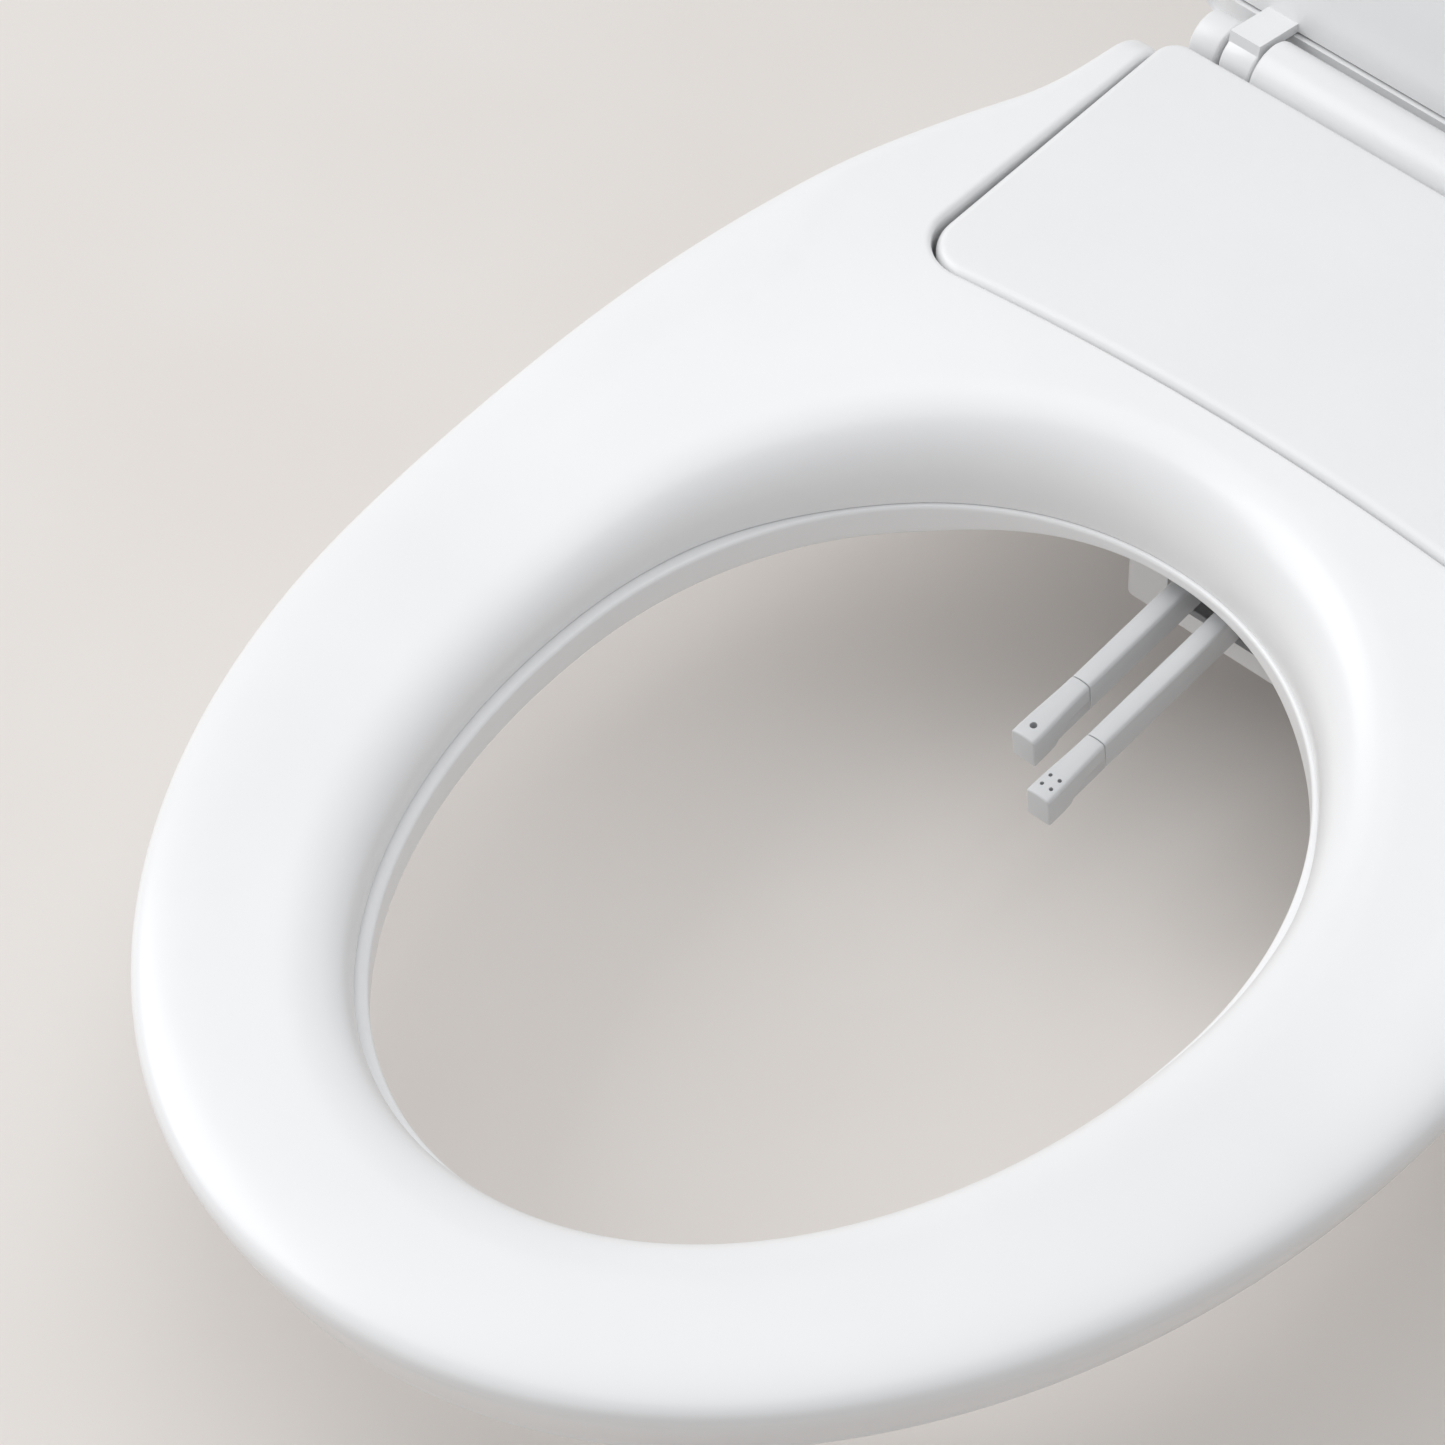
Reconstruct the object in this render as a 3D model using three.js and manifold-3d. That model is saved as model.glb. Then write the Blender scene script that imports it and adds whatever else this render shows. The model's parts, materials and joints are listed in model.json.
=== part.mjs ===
// Electric bidet seat with its lid raised and both wash nozzles run out.
// Millimetres. +X is right and -Y is forward for a person facing the toilet, +Z is up. The origin is
// midway between the two mounting bolts, on the bowl's deck, so the bowl's rim lies in the plane z = 0.
import * as THREE from 'three';
import { mergeVertices } from 'three/addons/utils/BufferGeometryUtils.js';
import Module from 'manifold-3d';

// Seat ring
const SEAT_HALF_WIDTH = 187.5;
const SEAT_WIDEST_Y = -228;
const SEAT_FRONT_Y = -480;
const SEAT_FRONT_POWER = 2.05;
const SEAT_REAR_REACH = 329;
const ARM_FLARE_Y = -20;
const ARM_FLARE = 12;
const ARM_END_Y = 28;
const ARM_END_REACH = 15.5;
const ARM_ROOT_Y = -98;
const SEAT_TOP = 36;
const SEAT_RISE = 15;
const SEAT_CREASE = 26;
const SEAT_SKIRT = 2;
const SEAT_WALL = 3;
const OPENING = { y: -250, halfWidth: 113.5, rear: 131.5, front: 166.5, power: 2.05 };
const LIP = 4;
const LIP_TOP = 18.6;
const TOUCH_GAP = 0.3;

// Housing
const PANEL_HALF_WIDTH = 124.5;
const PANEL_FRONT_Y = -84;
const PANEL_REAR_Y = 28;
const PANEL_BOW = 9;
const PANEL_CORNER = 15;
const PANEL_TOP = 50.5;
const PANEL_CROWN = 1.2;
const PANEL_CLIMB = 3.5;
const PANEL_GAP = 2.2;
const SPLIT_Z = 17;
const SHELF_Z = 32;
const HOUSING_REAR_Y = 62;
const HOUSING_CORNER = 8;
const TRAY_FRONT_Y = -94;
const TRAY_BOTTOM = 1;
const SHELL = 2.6;
const CHANNEL = { halfWidth: 104, frontY: -34, top: 6 };

// Hinges: one axis for the seat through its arms, one for the lid behind the panel
const SEAT_AXIS = { y: 14, z: 34 };
const LID_AXIS = { y: 42, z: 44 };
const LID_OPEN_DEG = 100;
const PIN_RADIUS = 4;
const RUNNING_GAP = 0.4;
const BARREL_RADIUS = 11;
const BARREL_END_X = 97;
const LID_EAR = [98.5, 110];
const LID_POST = [111.5, 122];

// Nozzles: two parallel tubes that slide on one line, lower at the front
const NOZZLE_TILT_DEG = 5.5;
const NOZZLE_CENTRE_X = 5.4;
const NOZZLE_PITCH = 17;
const NOZZLE_ORIGIN = { y: -127, z: 1.4 };
const TUBE = { width: 6.8, height: 7, length: 91 };
const TIP = { width: 7.6, height: 9.5, length: 26 };
const NOZZLE_FRONT_Y = [-55.5, -69];
const RACK_MODULE = 1;
const PINION_TEETH = 10;
const PINION_Y = 43;

// Mounting
const BOLT_X = 70;
const PLATE = { width: 196, frontY: -28, rearY: 34, thickness: 3 };
const NUT_Z = -38;
const BOLT_END_Z = -70;

const WHITE = { color: 0xf4f5f6, roughness: 0.18, metalness: 0 };
const SATIN_WHITE = { color: 0xeceeef, roughness: 0.32, metalness: 0 };
const NOZZLE_GREY = { color: 0xc3c6c9, roughness: 0.4, metalness: 0 };
const INNER_GREY = { color: 0x8f9499, roughness: 0.55, metalness: 0 };
const BLACK_PLASTIC = { color: 0x1d1f21, roughness: 0.45, metalness: 0 };
const RUBBER = { color: 0xb9bcbe, roughness: 0.85, metalness: 0 };
const BRASS = { color: 0xb8923f, roughness: 0.3, metalness: 1 };
const STEEL = { color: 0xb6b9bc, roughness: 0.3, metalness: 1 };
const BOARD_GREEN = { color: 0x1f6b45, roughness: 0.5, metalness: 0 };
const FOIL = { color: 0xc9b27a, roughness: 0.4, metalness: 0.6 };
const SMOKED = { color: 0x2b2d33, roughness: 0.1, metalness: 0 };
const BUTTON_GREY = { color: 0xa9adb1, roughness: 0.4, metalness: 0 };

const wasm = await Module();
wasm.setup();

const model = new THREE.Group();
const range = (count, make) => Array.from({ length: count }, (_, i) => make(i));
const sides = [['left', -1], ['right', 1]];

// ---- geometry helpers ----

function toManifold(geometry) {
  const bare = geometry.clone();
  bare.deleteAttribute('normal');
  bare.deleteAttribute('uv');
  const merged = mergeVertices(bare, 1e-4);
  return new wasm.Manifold(new wasm.Mesh({
    numProp: 3,
    vertProperties: new Float32Array(merged.attributes.position.array),
    triVerts: new Uint32Array(merged.index.array),
  }));
}

function toGeometry(manifold) {
  const mesh = manifold.getMesh();
  const geometry = new THREE.BufferGeometry();
  geometry.setAttribute('position', new THREE.BufferAttribute(new Float32Array(mesh.vertProperties), 3));
  geometry.setIndex(new THREE.BufferAttribute(new Uint32Array(mesh.triVerts), 1));
  geometry.computeVertexNormals();
  return geometry;
}

function cut(base, ...tools) {
  return toGeometry(tools.reduce((solid, tool) => solid.subtract(toManifold(tool)), toManifold(base)));
}

function join(base, ...others) {
  return toGeometry(others.reduce((solid, other) => solid.add(toManifold(other)), toManifold(base)));
}

function meet(base, other) {
  return toGeometry(toManifold(base).intersect(toManifold(other)));
}

// A block between two corners.
function block([x0, y0, z0], [x1, y1, z1]) {
  const geometry = new THREE.BoxGeometry(x1 - x0, y1 - y0, z1 - z0);
  return geometry.translate((x0 + x1) / 2, (y0 + y1) / 2, (z0 + z1) / 2);
}

// A cylinder from one end point to the other; its axis is parallel to X, Y or Z.
function rod(from, to, radius, sides = 16) {
  const a = new THREE.Vector3(...from);
  const b = new THREE.Vector3(...to);
  const along = b.clone().sub(a);
  const geometry = new THREE.CylinderGeometry(radius, radius, along.length(), sides);
  geometry.applyQuaternion(new THREE.Quaternion().setFromUnitVectors(
    new THREE.Vector3(0, 1, 0),
    along.clone().normalize(),
  ));
  return geometry.translate(...a.add(b).multiplyScalar(0.5).toArray());
}

// A vertical prism over a plan outline.
function prism(points, z0, z1) {
  const shape = new THREE.Shape(points.map(([x, y]) => new THREE.Vector2(x, y)));
  const geometry = new THREE.ExtrudeGeometry(shape, { depth: z1 - z0, bevelEnabled: false });
  return geometry.translate(0, 0, z0);
}

// A rectangle with round corners, as a list of plan points.
function roundedRectangle([x0, y0], [x1, y1], radius, steps = 3) {
  const centres = [[x1 - radius, y0 + radius], [x1 - radius, y1 - radius],
    [x0 + radius, y1 - radius], [x0 + radius, y0 + radius]];
  return centres.flatMap(([cx, cy], corner) => Array.from({ length: steps + 1 }, (_, i) => {
    const angle = (corner - 1 + i / steps) * Math.PI / 2;
    return [cx + radius * Math.cos(angle), cy + radius * Math.sin(angle)];
  }));
}

// End faces cut by ear clipping.
function anyFaces({ outer, hole }) {
  const flat = (loop) => loop.map(([x, y]) => new THREE.Vector2(x, y));
  return THREE.ShapeUtils.triangulateShape(flat(outer), hole ? [flat(hole)] : []);
}

// End faces as strips between each point of a mirrored loop and its mirror image.
function rungFaces({ outer }) {
  const size = outer.length;
  return range(size / 2, (i) => {
    const [right, left, lastRight, lastLeft] = [i + 1, size - 1 - i, i, (size - i) % size];
    const faces = [[lastRight, right, lastLeft], [right, left, lastLeft]];
    return faces.filter((face) => new Set(face).size === 3);
  }).flat();
}

// End faces between a loop and the seat's opening, walked together by their angle about its middle. Points
// from `arm[0]` to `arm[1]`, and their mirror images, belong to an arm, which is filled by itself.
function ringFaces(arm) {
  return ({ outer, hole }) => {
    const size = outer.length;
    const isArm = (i) => arm && ((i > arm[0] && i < arm[1]) || (size - i > arm[0] && size - i < arm[1]));
    const rim = range(size + 1, (i) => i % size).filter((i) => !isArm(i));
    const edge = range(hole.length + 1, (i) => (hole.length - i) % hole.length);
    const turn = (loop, ids, at) => {
      const [x, y] = loop[ids[at]];
      const angle = Math.atan2(x, OPENING.y - y);
      return at === ids.length - 1 ? 2 * Math.PI : (angle + 2 * Math.PI) % (2 * Math.PI);
    };
    const faces = [];
    let [i, j] = [0, 0];
    while (i < rim.length - 1 || j < edge.length - 1) {
      const outerNext = i < rim.length - 1 ? turn(outer, rim, i + 1) : Infinity;
      const holeNext = j < edge.length - 1 ? turn(hole, edge, j + 1) : Infinity;
      if (outerNext <= holeNext) {
        faces.push([rim[i], rim[i + 1], size + edge[j]]);
        i += 1;
      } else {
        faces.push([rim[i], size + edge[j + 1], size + edge[j]]);
        j += 1;
      }
    }
    const spans = arm ? [[arm[0], arm[1]], [size - arm[1], size - arm[0]]] : [];
    for (const [from, to] of spans) {
      const strip = outer.slice(from, to + 1);
      faces.push(...anyFaces({ outer: strip }).map((face) => face.map((at) => at + from)));
    }
    return faces;
  };
}

// A closed solid from stacked levels. Each level has an outer loop (anticlockwise) and may have a hole
// (clockwise), as lists of [x, y, z]; every level has the same number of points.
function stack(levels, facesOf = anyFaces) {
  const positions = [];
  const index = [];
  const loopSize = levels[0].outer.length;
  const holeSize = levels[0].hole ? levels[0].hole.length : 0;
  const starts = levels.map((level) => {
    const start = positions.length / 3;
    for (const point of [...level.outer, ...(level.hole ?? [])]) {
      positions.push(...point);
    }
    return start;
  });
  const band = (low, high, count) => {
    for (let i = 0; i < count; i += 1) {
      const j = (i + 1) % count;
      index.push(low + i, low + j, high + j, low + i, high + j, high + i);
    }
  };
  const cap = (level, start, facingUp) => {
    for (const [a, b, c] of facesOf(level)) {
      index.push(...(facingUp ? [start + a, start + b, start + c] : [start + c, start + b, start + a]));
    }
  };
  for (let k = 0; k + 1 < levels.length; k += 1) {
    band(starts[k], starts[k + 1], loopSize);
    band(starts[k] + loopSize, starts[k + 1] + loopSize, holeSize);
  }
  cap(levels[0], starts[0], false);
  cap(levels.at(-1), starts.at(-1), true);
  const geometry = new THREE.BufferGeometry();
  geometry.setAttribute('position', new THREE.Float32BufferAttribute(positions, 3));
  geometry.setIndex(index);
  geometry.computeVertexNormals();
  return geometry;
}

function add(parent, name, geometry, material) {
  const mesh = new THREE.Mesh(geometry, new THREE.MeshStandardMaterial(material));
  mesh.name = name;
  parent.add(mesh);
  return mesh;
}

// ---- shared outlines and heights ----

function smooth(t) {
  const s = THREE.MathUtils.clamp(t, 0, 1);
  return s * s * (3 - 2 * s);
}

// How much the seat has climbed from the front of the ring to the panel.
const climb = (y) => smooth((y + 270) / 190);

// Half the seat's width behind its widest line: an ellipse, eased into the arms.
function outerHalfWidth(y) {
  const ellipse = (at) => SEAT_HALF_WIDTH * Math.sqrt(1 - ((at - SEAT_WIDEST_Y) / SEAT_REAR_REACH) ** 2);
  if (y <= ARM_FLARE_Y) {
    return ellipse(y);
  }
  const slope = ellipse(ARM_FLARE_Y - 0.5) - ellipse(ARM_FLARE_Y + 0.5);
  return ellipse(ARM_FLARE_Y) - ARM_FLARE * (1 - Math.exp(-slope * (y - ARM_FLARE_Y) / ARM_FLARE));
}

function frontQuarter(count) {
  return range(count, (i) => {
    const angle = i / count * Math.PI / 2;
    const power = 2 / SEAT_FRONT_POWER;
    return [
      SEAT_HALF_WIDTH * Math.sin(angle) ** power,
      SEAT_WIDEST_Y - (SEAT_WIDEST_Y - SEAT_FRONT_Y) * Math.cos(angle) ** power,
    ];
  });
}

function sidePoints(fromY, toY, count) {
  return range(count + 1, (i) => {
    const y = fromY + (toY - fromY) * i / count;
    return [outerHalfWidth(y), y];
  });
}

// The panel's front edge and front corner, from the side to the middle, moved out by a gap.
function panelEdge(gap) {
  const startX = PANEL_HALF_WIDTH - PANEL_CORNER;
  const slope = Math.atan(2 * PANEL_BOW * startX / PANEL_HALF_WIDTH ** 2);
  const edgeX = startX - PANEL_CORNER * Math.sin(slope);
  const edgeY = (x) => PANEL_FRONT_Y - PANEL_BOW * (x / PANEL_HALF_WIDTH) ** 2;
  const centreY = edgeY(edgeX) + PANEL_CORNER * Math.cos(slope);
  const reach = PANEL_CORNER + gap;
  const corner = range(5, (i) => {
    const angle = -i / 4 * (Math.PI / 2 + slope);
    return [startX + reach * Math.cos(angle), centreY + reach * Math.sin(angle)];
  });
  const front = [0.75, 0.5, 0.25, 0].map((part) => [edgeX * part, edgeY(edgeX * part) - gap]);
  return [...corner, ...front];
}

// Mirrors the right half of a loop, which runs from the front centre line to the rear one.
function mirrored(half) {
  return [...half, ...half.slice(1, -1).reverse().map(([x, y, ...rest]) => [-x, y, ...rest])];
}

// The seat's plan: ring, two arms and the edge that wraps the panel. The third number says how much of
// an inset each point takes, so the narrow arms get a smaller edge radius.
function seatLoop() {
  const armInnerX = PANEL_HALF_WIDTH + PANEL_GAP;
  const weight = (y) => 1 - 0.72 * smooth((y + 130) / 60);
  const outer = [...frontQuarter(12), ...sidePoints(SEAT_WIDEST_Y, ARM_ROOT_Y, 6),
    ...sidePoints(ARM_ROOT_Y, ARM_END_Y - 4, 5).slice(1)];
  const armEnd = [[outer.at(-1)[0] - 2.5, ARM_END_Y], [armInnerX + 2, ARM_END_Y], [armInnerX, ARM_END_Y - 4]];
  const wrap = [...armEnd, [armInnerX, -30], ...panelEdge(PANEL_GAP)];
  return mirrored([
    ...outer.map(([x, y]) => [x, y, weight(y)]),
    ...wrap.map(([x, y]) => [x, y, 0.28]),
  ]);
}

// Where an arm starts and ends in that loop: at its root on the outside and at the panel's corner.
const SEAT_ARM = [18, 31];

// The seat's hollow stops before the arms.
function hollowLoop() {
  const outer = [...frontQuarter(12), ...sidePoints(SEAT_WIDEST_Y, -104, 6)];
  const rear = panelEdge(PANEL_GAP + 3.2).slice(4);
  return mirrored([...outer, ...rear].map(([x, y]) => [x, y, y < -100 ? 1 : 0]));
}

function inset(loop, distance) {
  return loop.map(([x, y, weight], i) => {
    const [ax, ay] = loop.at(i - 1);
    const [bx, by] = loop[(i + 1) % loop.length];
    const length = Math.hypot(bx - ax, by - ay);
    const step = distance * weight / length;
    return [x - (by - ay) * step, y + (bx - ax) * step];
  });
}

function openingLoop(outset, count = 40) {
  return range(count, (i) => {
    const angle = -Math.PI / 2 - i / count * 2 * Math.PI;
    const bulge = (value) => Math.sign(value) * Math.abs(value) ** (2 / OPENING.power);
    const reach = Math.sin(angle) > 0 ? OPENING.rear : OPENING.front;
    return [
      i === 0 ? 0 : (OPENING.halfWidth + outset) * bulge(Math.cos(angle)),
      OPENING.y + (reach + outset) * bulge(Math.sin(angle)),
    ];
  });
}

// Rounds the ends of the arms about the seat's hinge axis, so that they swing clear of the housing.
function armHeight(y, z) {
  const behind = Math.max(0, y - SEAT_AXIS.y) / ARM_END_REACH;
  return SEAT_AXIS.z + (z - SEAT_AXIS.z) * Math.sqrt(1 - behind ** 2);
}

// Levels of a ring: [outer inset, outer height, opening outset, opening height], climbing to the rear.
function ringLevels(loop, rows, follow = 1) {
  return rows.map(([distance, z, outset, holeZ]) => ({
    outer: inset(loop, distance).map(([x, y]) => [x, y, armHeight(y, z + follow * SEAT_RISE * climb(y))]),
    hole: openingLoop(outset).map(([x, y]) => [x, y, holeZ + follow * SEAT_RISE * climb(y)]),
  }));
}

// ---- seat ----

function seatPinHole(side) {
  return rod([side * 120, SEAT_AXIS.y, SEAT_AXIS.z], [side * 132, SEAT_AXIS.y, SEAT_AXIS.z],
    PIN_RADIUS + RUNNING_GAP);
}

function seatUpperSkin() {
  const loop = seatLoop();
  const crown = ringLevels(loop, [[0, SEAT_CREASE + 2, LIP, 22], [3, 33, LIP + 3, 28.5],
    [7, 35.3, LIP + 9, 33.5], [12, SEAT_TOP, LIP + 17, SEAT_TOP]]);
  return stack([...ringLevels(loop, [[0, SEAT_CREASE + 0.3, LIP, 19]], 0), ...crown], ringFaces(SEAT_ARM));
}

function seatUpperShell() {
  const hollow = ringLevels(hollowLoop(), [[SEAT_WALL, 10, LIP + SEAT_WALL, 10]], 0);
  hollow.push(...ringLevels(hollowLoop(), [[SEAT_WALL, 27, LIP + SEAT_WALL + 1, 22],
    [11, SEAT_TOP - SEAT_WALL, LIP + 15, SEAT_TOP - SEAT_WALL - 1]]));
  return cut(seatUpperSkin(), stack(hollow, ringFaces()), seatPinHole(-1), seatPinHole(1));
}

// The lower shell's underside lifts at the rear to clear the housing and the nozzles.
const skirtLift = (y) => 16 * smooth((y + 150) / 50);

function seatLowerSkin() {
  const loop = seatLoop();
  const level = (distance, z, lift, outset, holeZ, holeLift) => ({
    outer: inset(loop, distance).map(([x, y]) => [x, y, armHeight(y, z + lift * skirtLift(y))]),
    hole: openingLoop(outset).map(([x, y]) => [x, y, holeZ + holeLift * skirtLift(y)]),
  });
  return stack([level(2.5, SEAT_SKIRT, 1, 1.5, 7, 0.6), level(0.6, SEAT_CREASE - 6, 0.25, 0, 9, 0.6),
    level(0.2, SEAT_CREASE, 0, 0, LIP_TOP, 0)], ringFaces(SEAT_ARM));
}

function seatLowerShell() {
  const hollowLevel = (distance, z, outset, lift) => ({
    outer: inset(hollowLoop(), distance).map(([x, y]) => [x, y, z + lift * skirtLift(y)]),
    hole: openingLoop(outset).map(([x, y]) => [x, y, z + lift * skirtLift(y)]),
  });
  const hollow = [hollowLevel(5.5, 8, 6, 0.8), hollowLevel(3.4, 16, 3.4, 0.2),
    hollowLevel(3.4, SEAT_CREASE + 8, 3.4, 0)];
  const overHousing = block([-200, TRAY_FRONT_Y - 3.5, -5], [200, 10, SPLIT_Z + 1.2]);
  return cut(seatLowerSkin(), stack(hollow, ringFaces()), overHousing,
    seatUpperSkin().translate(0, 0, -TOUCH_GAP));
}

function seatHeater() {
  const z = SEAT_TOP - SEAT_WALL - 2.2;
  const levels = [[16, z, LIP + 19, z - 0.6], [16, z + 0.8, LIP + 19, z + 0.2]];
  return stack(ringLevels(hollowLoop(), levels), ringFaces());
}

// A pad that fills the space from the bowl's rim up to the lower shell's sloping underside.
function seatBumper([x, y]) {
  const plan = roundedRectangle([x - 6, y - 14], [x + 6, y + 14], 5);
  return cut(prism(plan, 0, LIP_TOP), seatLowerSkin().translate(0, 0, -TOUCH_GAP));
}

const SEAT_BUMPERS = {
  front_left: [-92, -407],
  front_right: [92, -407],
  rear_left: [-151, -205],
  rear_right: [151, -205],
};

function addSeat() {
  add(model, 'seat_upper_shell', seatUpperShell(), WHITE);
  add(model, 'seat_lower_shell', seatLowerShell(), WHITE);
  add(model, 'seat_heater', seatHeater(), FOIL);
  for (const [place, centre] of Object.entries(SEAT_BUMPERS)) {
    add(model, `seat_bumper_${place}`, seatBumper(centre), RUBBER);
  }
  for (const [name, side] of sides) {
    const [start, end] = [112, 131.5].map((x) => [side * x, SEAT_AXIS.y, SEAT_AXIS.z]);
    add(model, `seat_pin_${name}`, rod(start, end, PIN_RADIUS), STEEL);
  }
}

// ---- lid, drawn closed and then swung up on its axis ----

const lidUnderside = (y) => 39.5 + 17 * climb(y);

function lidLoop() {
  const rearY = LID_AXIS.y + 2;
  const rear = [[outerHalfWidth(rearY) - 3, rearY - 2], [outerHalfWidth(rearY) - 8, rearY], [0, rearY]];
  return mirrored([...frontQuarter(12), ...sidePoints(SEAT_WIDEST_Y, rearY - 8, 10), ...rear]);
}

// Levels of the lid: [scale about its middle, height above its underside].
function lidLevels(rows) {
  const middle = -215;
  return rows.map(([scale, rise]) => ({
    outer: lidLoop().map(([x, y]) => {
      const scaledY = middle + (y - middle) * scale;
      return [x * scale, scaledY, lidUnderside(scaledY) + rise];
    }),
  }));
}

function lidEar(side) {
  const [inner, outer] = LID_EAR;
  const { y, z } = LID_AXIS;
  const boss = rod([side * inner, y, z], [side * outer, y, z], 9);
  const arm = block([0, y - 11, z - 6], [outer - inner, y, z + 8]);
  const root = block([0, y - 11, z + 7], [outer - inner, y - 7.6, z + 15.2]);
  const webs = [arm, root].map((web) => web.translate(side > 0 ? inner : -outer, 0, 0));
  return [boss, ...webs];
}

function lidPinHole(side) {
  const [start, end] = [80, 130].map((x) => [side * x, LID_AXIS.y, LID_AXIS.z]);
  return rod(start, end, PIN_RADIUS + RUNNING_GAP);
}

function lidLiner() {
  const plate = stack(lidLevels([[0.965, 1], [0.965, 3]]), rungFaces);
  const eared = join(plate, ...lidEar(-1), ...lidEar(1));
  return cut(eared, lidPinHole(-1), lidPinHole(1));
}

function lidShell() {
  const dome = stack(lidLevels([[0.992, 0], [1, 2.5], [1, 6], [0.98, 9.5], [0.92, 12], [0.6, 15]]), rungFaces);
  const hollow = stack(lidLevels([[0.968, -2], [0.968, 6.5], [0.9, 9], [0.6, 12]]), rungFaces);
  return cut(dome, hollow);
}

function addLid() {
  const pivot = new THREE.Group();
  pivot.position.set(0, LID_AXIS.y, LID_AXIS.z);
  pivot.rotation.x = -THREE.MathUtils.degToRad(LID_OPEN_DEG);
  model.add(pivot);
  const hang = (name, geometry, material) => {
    add(pivot, name, geometry.translate(0, -LID_AXIS.y, -LID_AXIS.z), material);
  };
  hang('lid_shell', lidShell(), WHITE);
  hang('lid_liner', lidLiner(), WHITE);
  for (const [name, side] of sides) {
    const bumperX = side * 146;
    const base = lidUnderside(-250) + 0.7;
    hang(`lid_bumper_${name}`, rod([bumperX, -250, base - 3.6], [bumperX, -250, base], 6, 16), RUBBER);
    const [start, end] = [88, 121].map((x) => [side * x, LID_AXIS.y, LID_AXIS.z]);
    hang(`lid_pin_${name}`, rod(start, end, PIN_RADIUS), STEEL);
  }
}

// ---- housing ----

function panelLoop(shrink) {
  const half = [...panelEdge(-shrink).reverse(), [PANEL_HALF_WIDTH - shrink, PANEL_REAR_Y - 4],
    [PANEL_HALF_WIDTH - shrink - 4, PANEL_REAR_Y - shrink], [0, PANEL_REAR_Y - shrink]];
  return mirrored(half);
}

// The panel is crowned across and climbs to the rear.
function panelHeight(x, y) {
  const back = (y - PANEL_FRONT_Y) / (PANEL_REAR_Y - PANEL_FRONT_Y);
  return PANEL_TOP + PANEL_CLIMB * back - PANEL_CROWN * (x / PANEL_HALF_WIDTH) ** 2;
}

// Levels of the panel block: [shrink, drop below the panel's surface, or null for the split line].
function panelLevels(rows) {
  return rows.map(([shrink, drop, z]) => ({
    outer: panelLoop(shrink).map(([x, y]) => [x, y, z ?? panelHeight(x, y) - drop]),
  }));
}

function housingLoop(shrink, frontY) {
  const rearY = HOUSING_REAR_Y - shrink;
  const round = HOUSING_CORNER - shrink;
  const sideX = (y) => outerHalfWidth(y) - 3 - shrink;
  const corner = range(4, (i) => {
    const angle = i / 3 * Math.PI / 2;
    return [sideX(rearY - round) - round + round * Math.cos(angle), rearY - round + round * Math.sin(angle)];
  });
  const flank = range(6, (i) => {
    const y = frontY + shrink + (rearY - 12 - frontY - shrink) * i / 5;
    return [sideX(y), y];
  });
  return mirrored([[0, frontY + shrink], ...flank, ...corner, [0, rearY]]);
}

const FILTER = { x: [62, 98], y: [32, 61.4], z: [9.4, 25] };
const INLET = { x: -98, z: 19.5, radius: 9.5 };
const GLAND = { x: 112, z: 12, radius: 6.5 };
const BUTTON_Y = [37.5, 49.5];
const BUTTON_Z = 20;

function barrel() {
  const { y, z } = LID_AXIS;
  const tube = rod([-BARREL_END_X, y, z], [BARREL_END_X, y, z], BARREL_RADIUS, 24);
  const foot = block([-BARREL_END_X, y - 6, SHELF_Z - 2], [BARREL_END_X, y + 6, z]);
  const posts = sides.flatMap(([, side]) => {
    const [inner, outer] = side > 0 ? LID_POST : [-LID_POST[1], -LID_POST[0]];
    return [rod([inner, y, z], [outer, y, z], 9), block([inner, y - 8, SHELF_Z - 2], [outer, y + 8, z])];
  });
  return join(tube, foot, ...posts);
}

function rearWallOpenings() {
  return [
    block([FILTER.x[0] - 0.8, 50, FILTER.z[0] - 0.8], [FILTER.x[1] + 0.8, 70, FILTER.z[1] + 0.8]),
    rod([INLET.x, 50, INLET.z], [INLET.x, 70, INLET.z], INLET.radius + RUNNING_GAP),
    rod([GLAND.x, 50, GLAND.z], [GLAND.x, 70, GLAND.z], GLAND.radius + RUNNING_GAP),
  ];
}

function buttonHoles() {
  const pushers = BUTTON_Y.map((y) => rod([118, y, BUTTON_Z], [140, y, BUTTON_Z], 4.5 + RUNNING_GAP));
  const release = block([-140, 36, 8], [-118, 56, 15.5]);
  return [...pushers, release];
}

function topCover() {
  const panel = stack(panelLevels([[0, 0, SPLIT_Z + 0.3], [0, 6.5], [1.4, 3], [3.4, 0.8], [7, 0]]));
  const shelf = prism(housingLoop(0, 32), SPLIT_Z + 0.3, SHELF_Z);
  const bridge = block([-118, 20, SPLIT_Z + 0.3], [118, 36, SHELF_Z]);
  const outside = join(panel, shelf, bridge, barrel());
  const hollow = stack(panelLevels([[SHELL, 0, SPLIT_Z - 4], [SHELL, 8], [6, SHELL]]));
  const shelfHollow = prism(housingLoop(SHELL, 26), SPLIT_Z - 4, SHELF_Z - SHELL);
  const seatPins = sides.map(([, side]) => rod([side * 110, SEAT_AXIS.y, SEAT_AXIS.z],
    [side * 130, SEAT_AXIS.y, SEAT_AXIS.z], PIN_RADIUS + RUNNING_GAP));
  const damperBore = rod([-BARREL_END_X - 1, LID_AXIS.y, LID_AXIS.z], [-38, LID_AXIS.y, LID_AXIS.z], 8);
  const lens = block([88, -70, 40], [108, -60, 60]);
  return cut(outside, hollow, shelfHollow, ...seatPins, damperBore, lidPinHole(-1), lidPinHole(1), lens,
    ...rearWallOpenings(), ...buttonHoles(), block([-116, 20, SPLIT_Z - 4], [116, 34, SHELF_Z - SHELL]));
}

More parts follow.
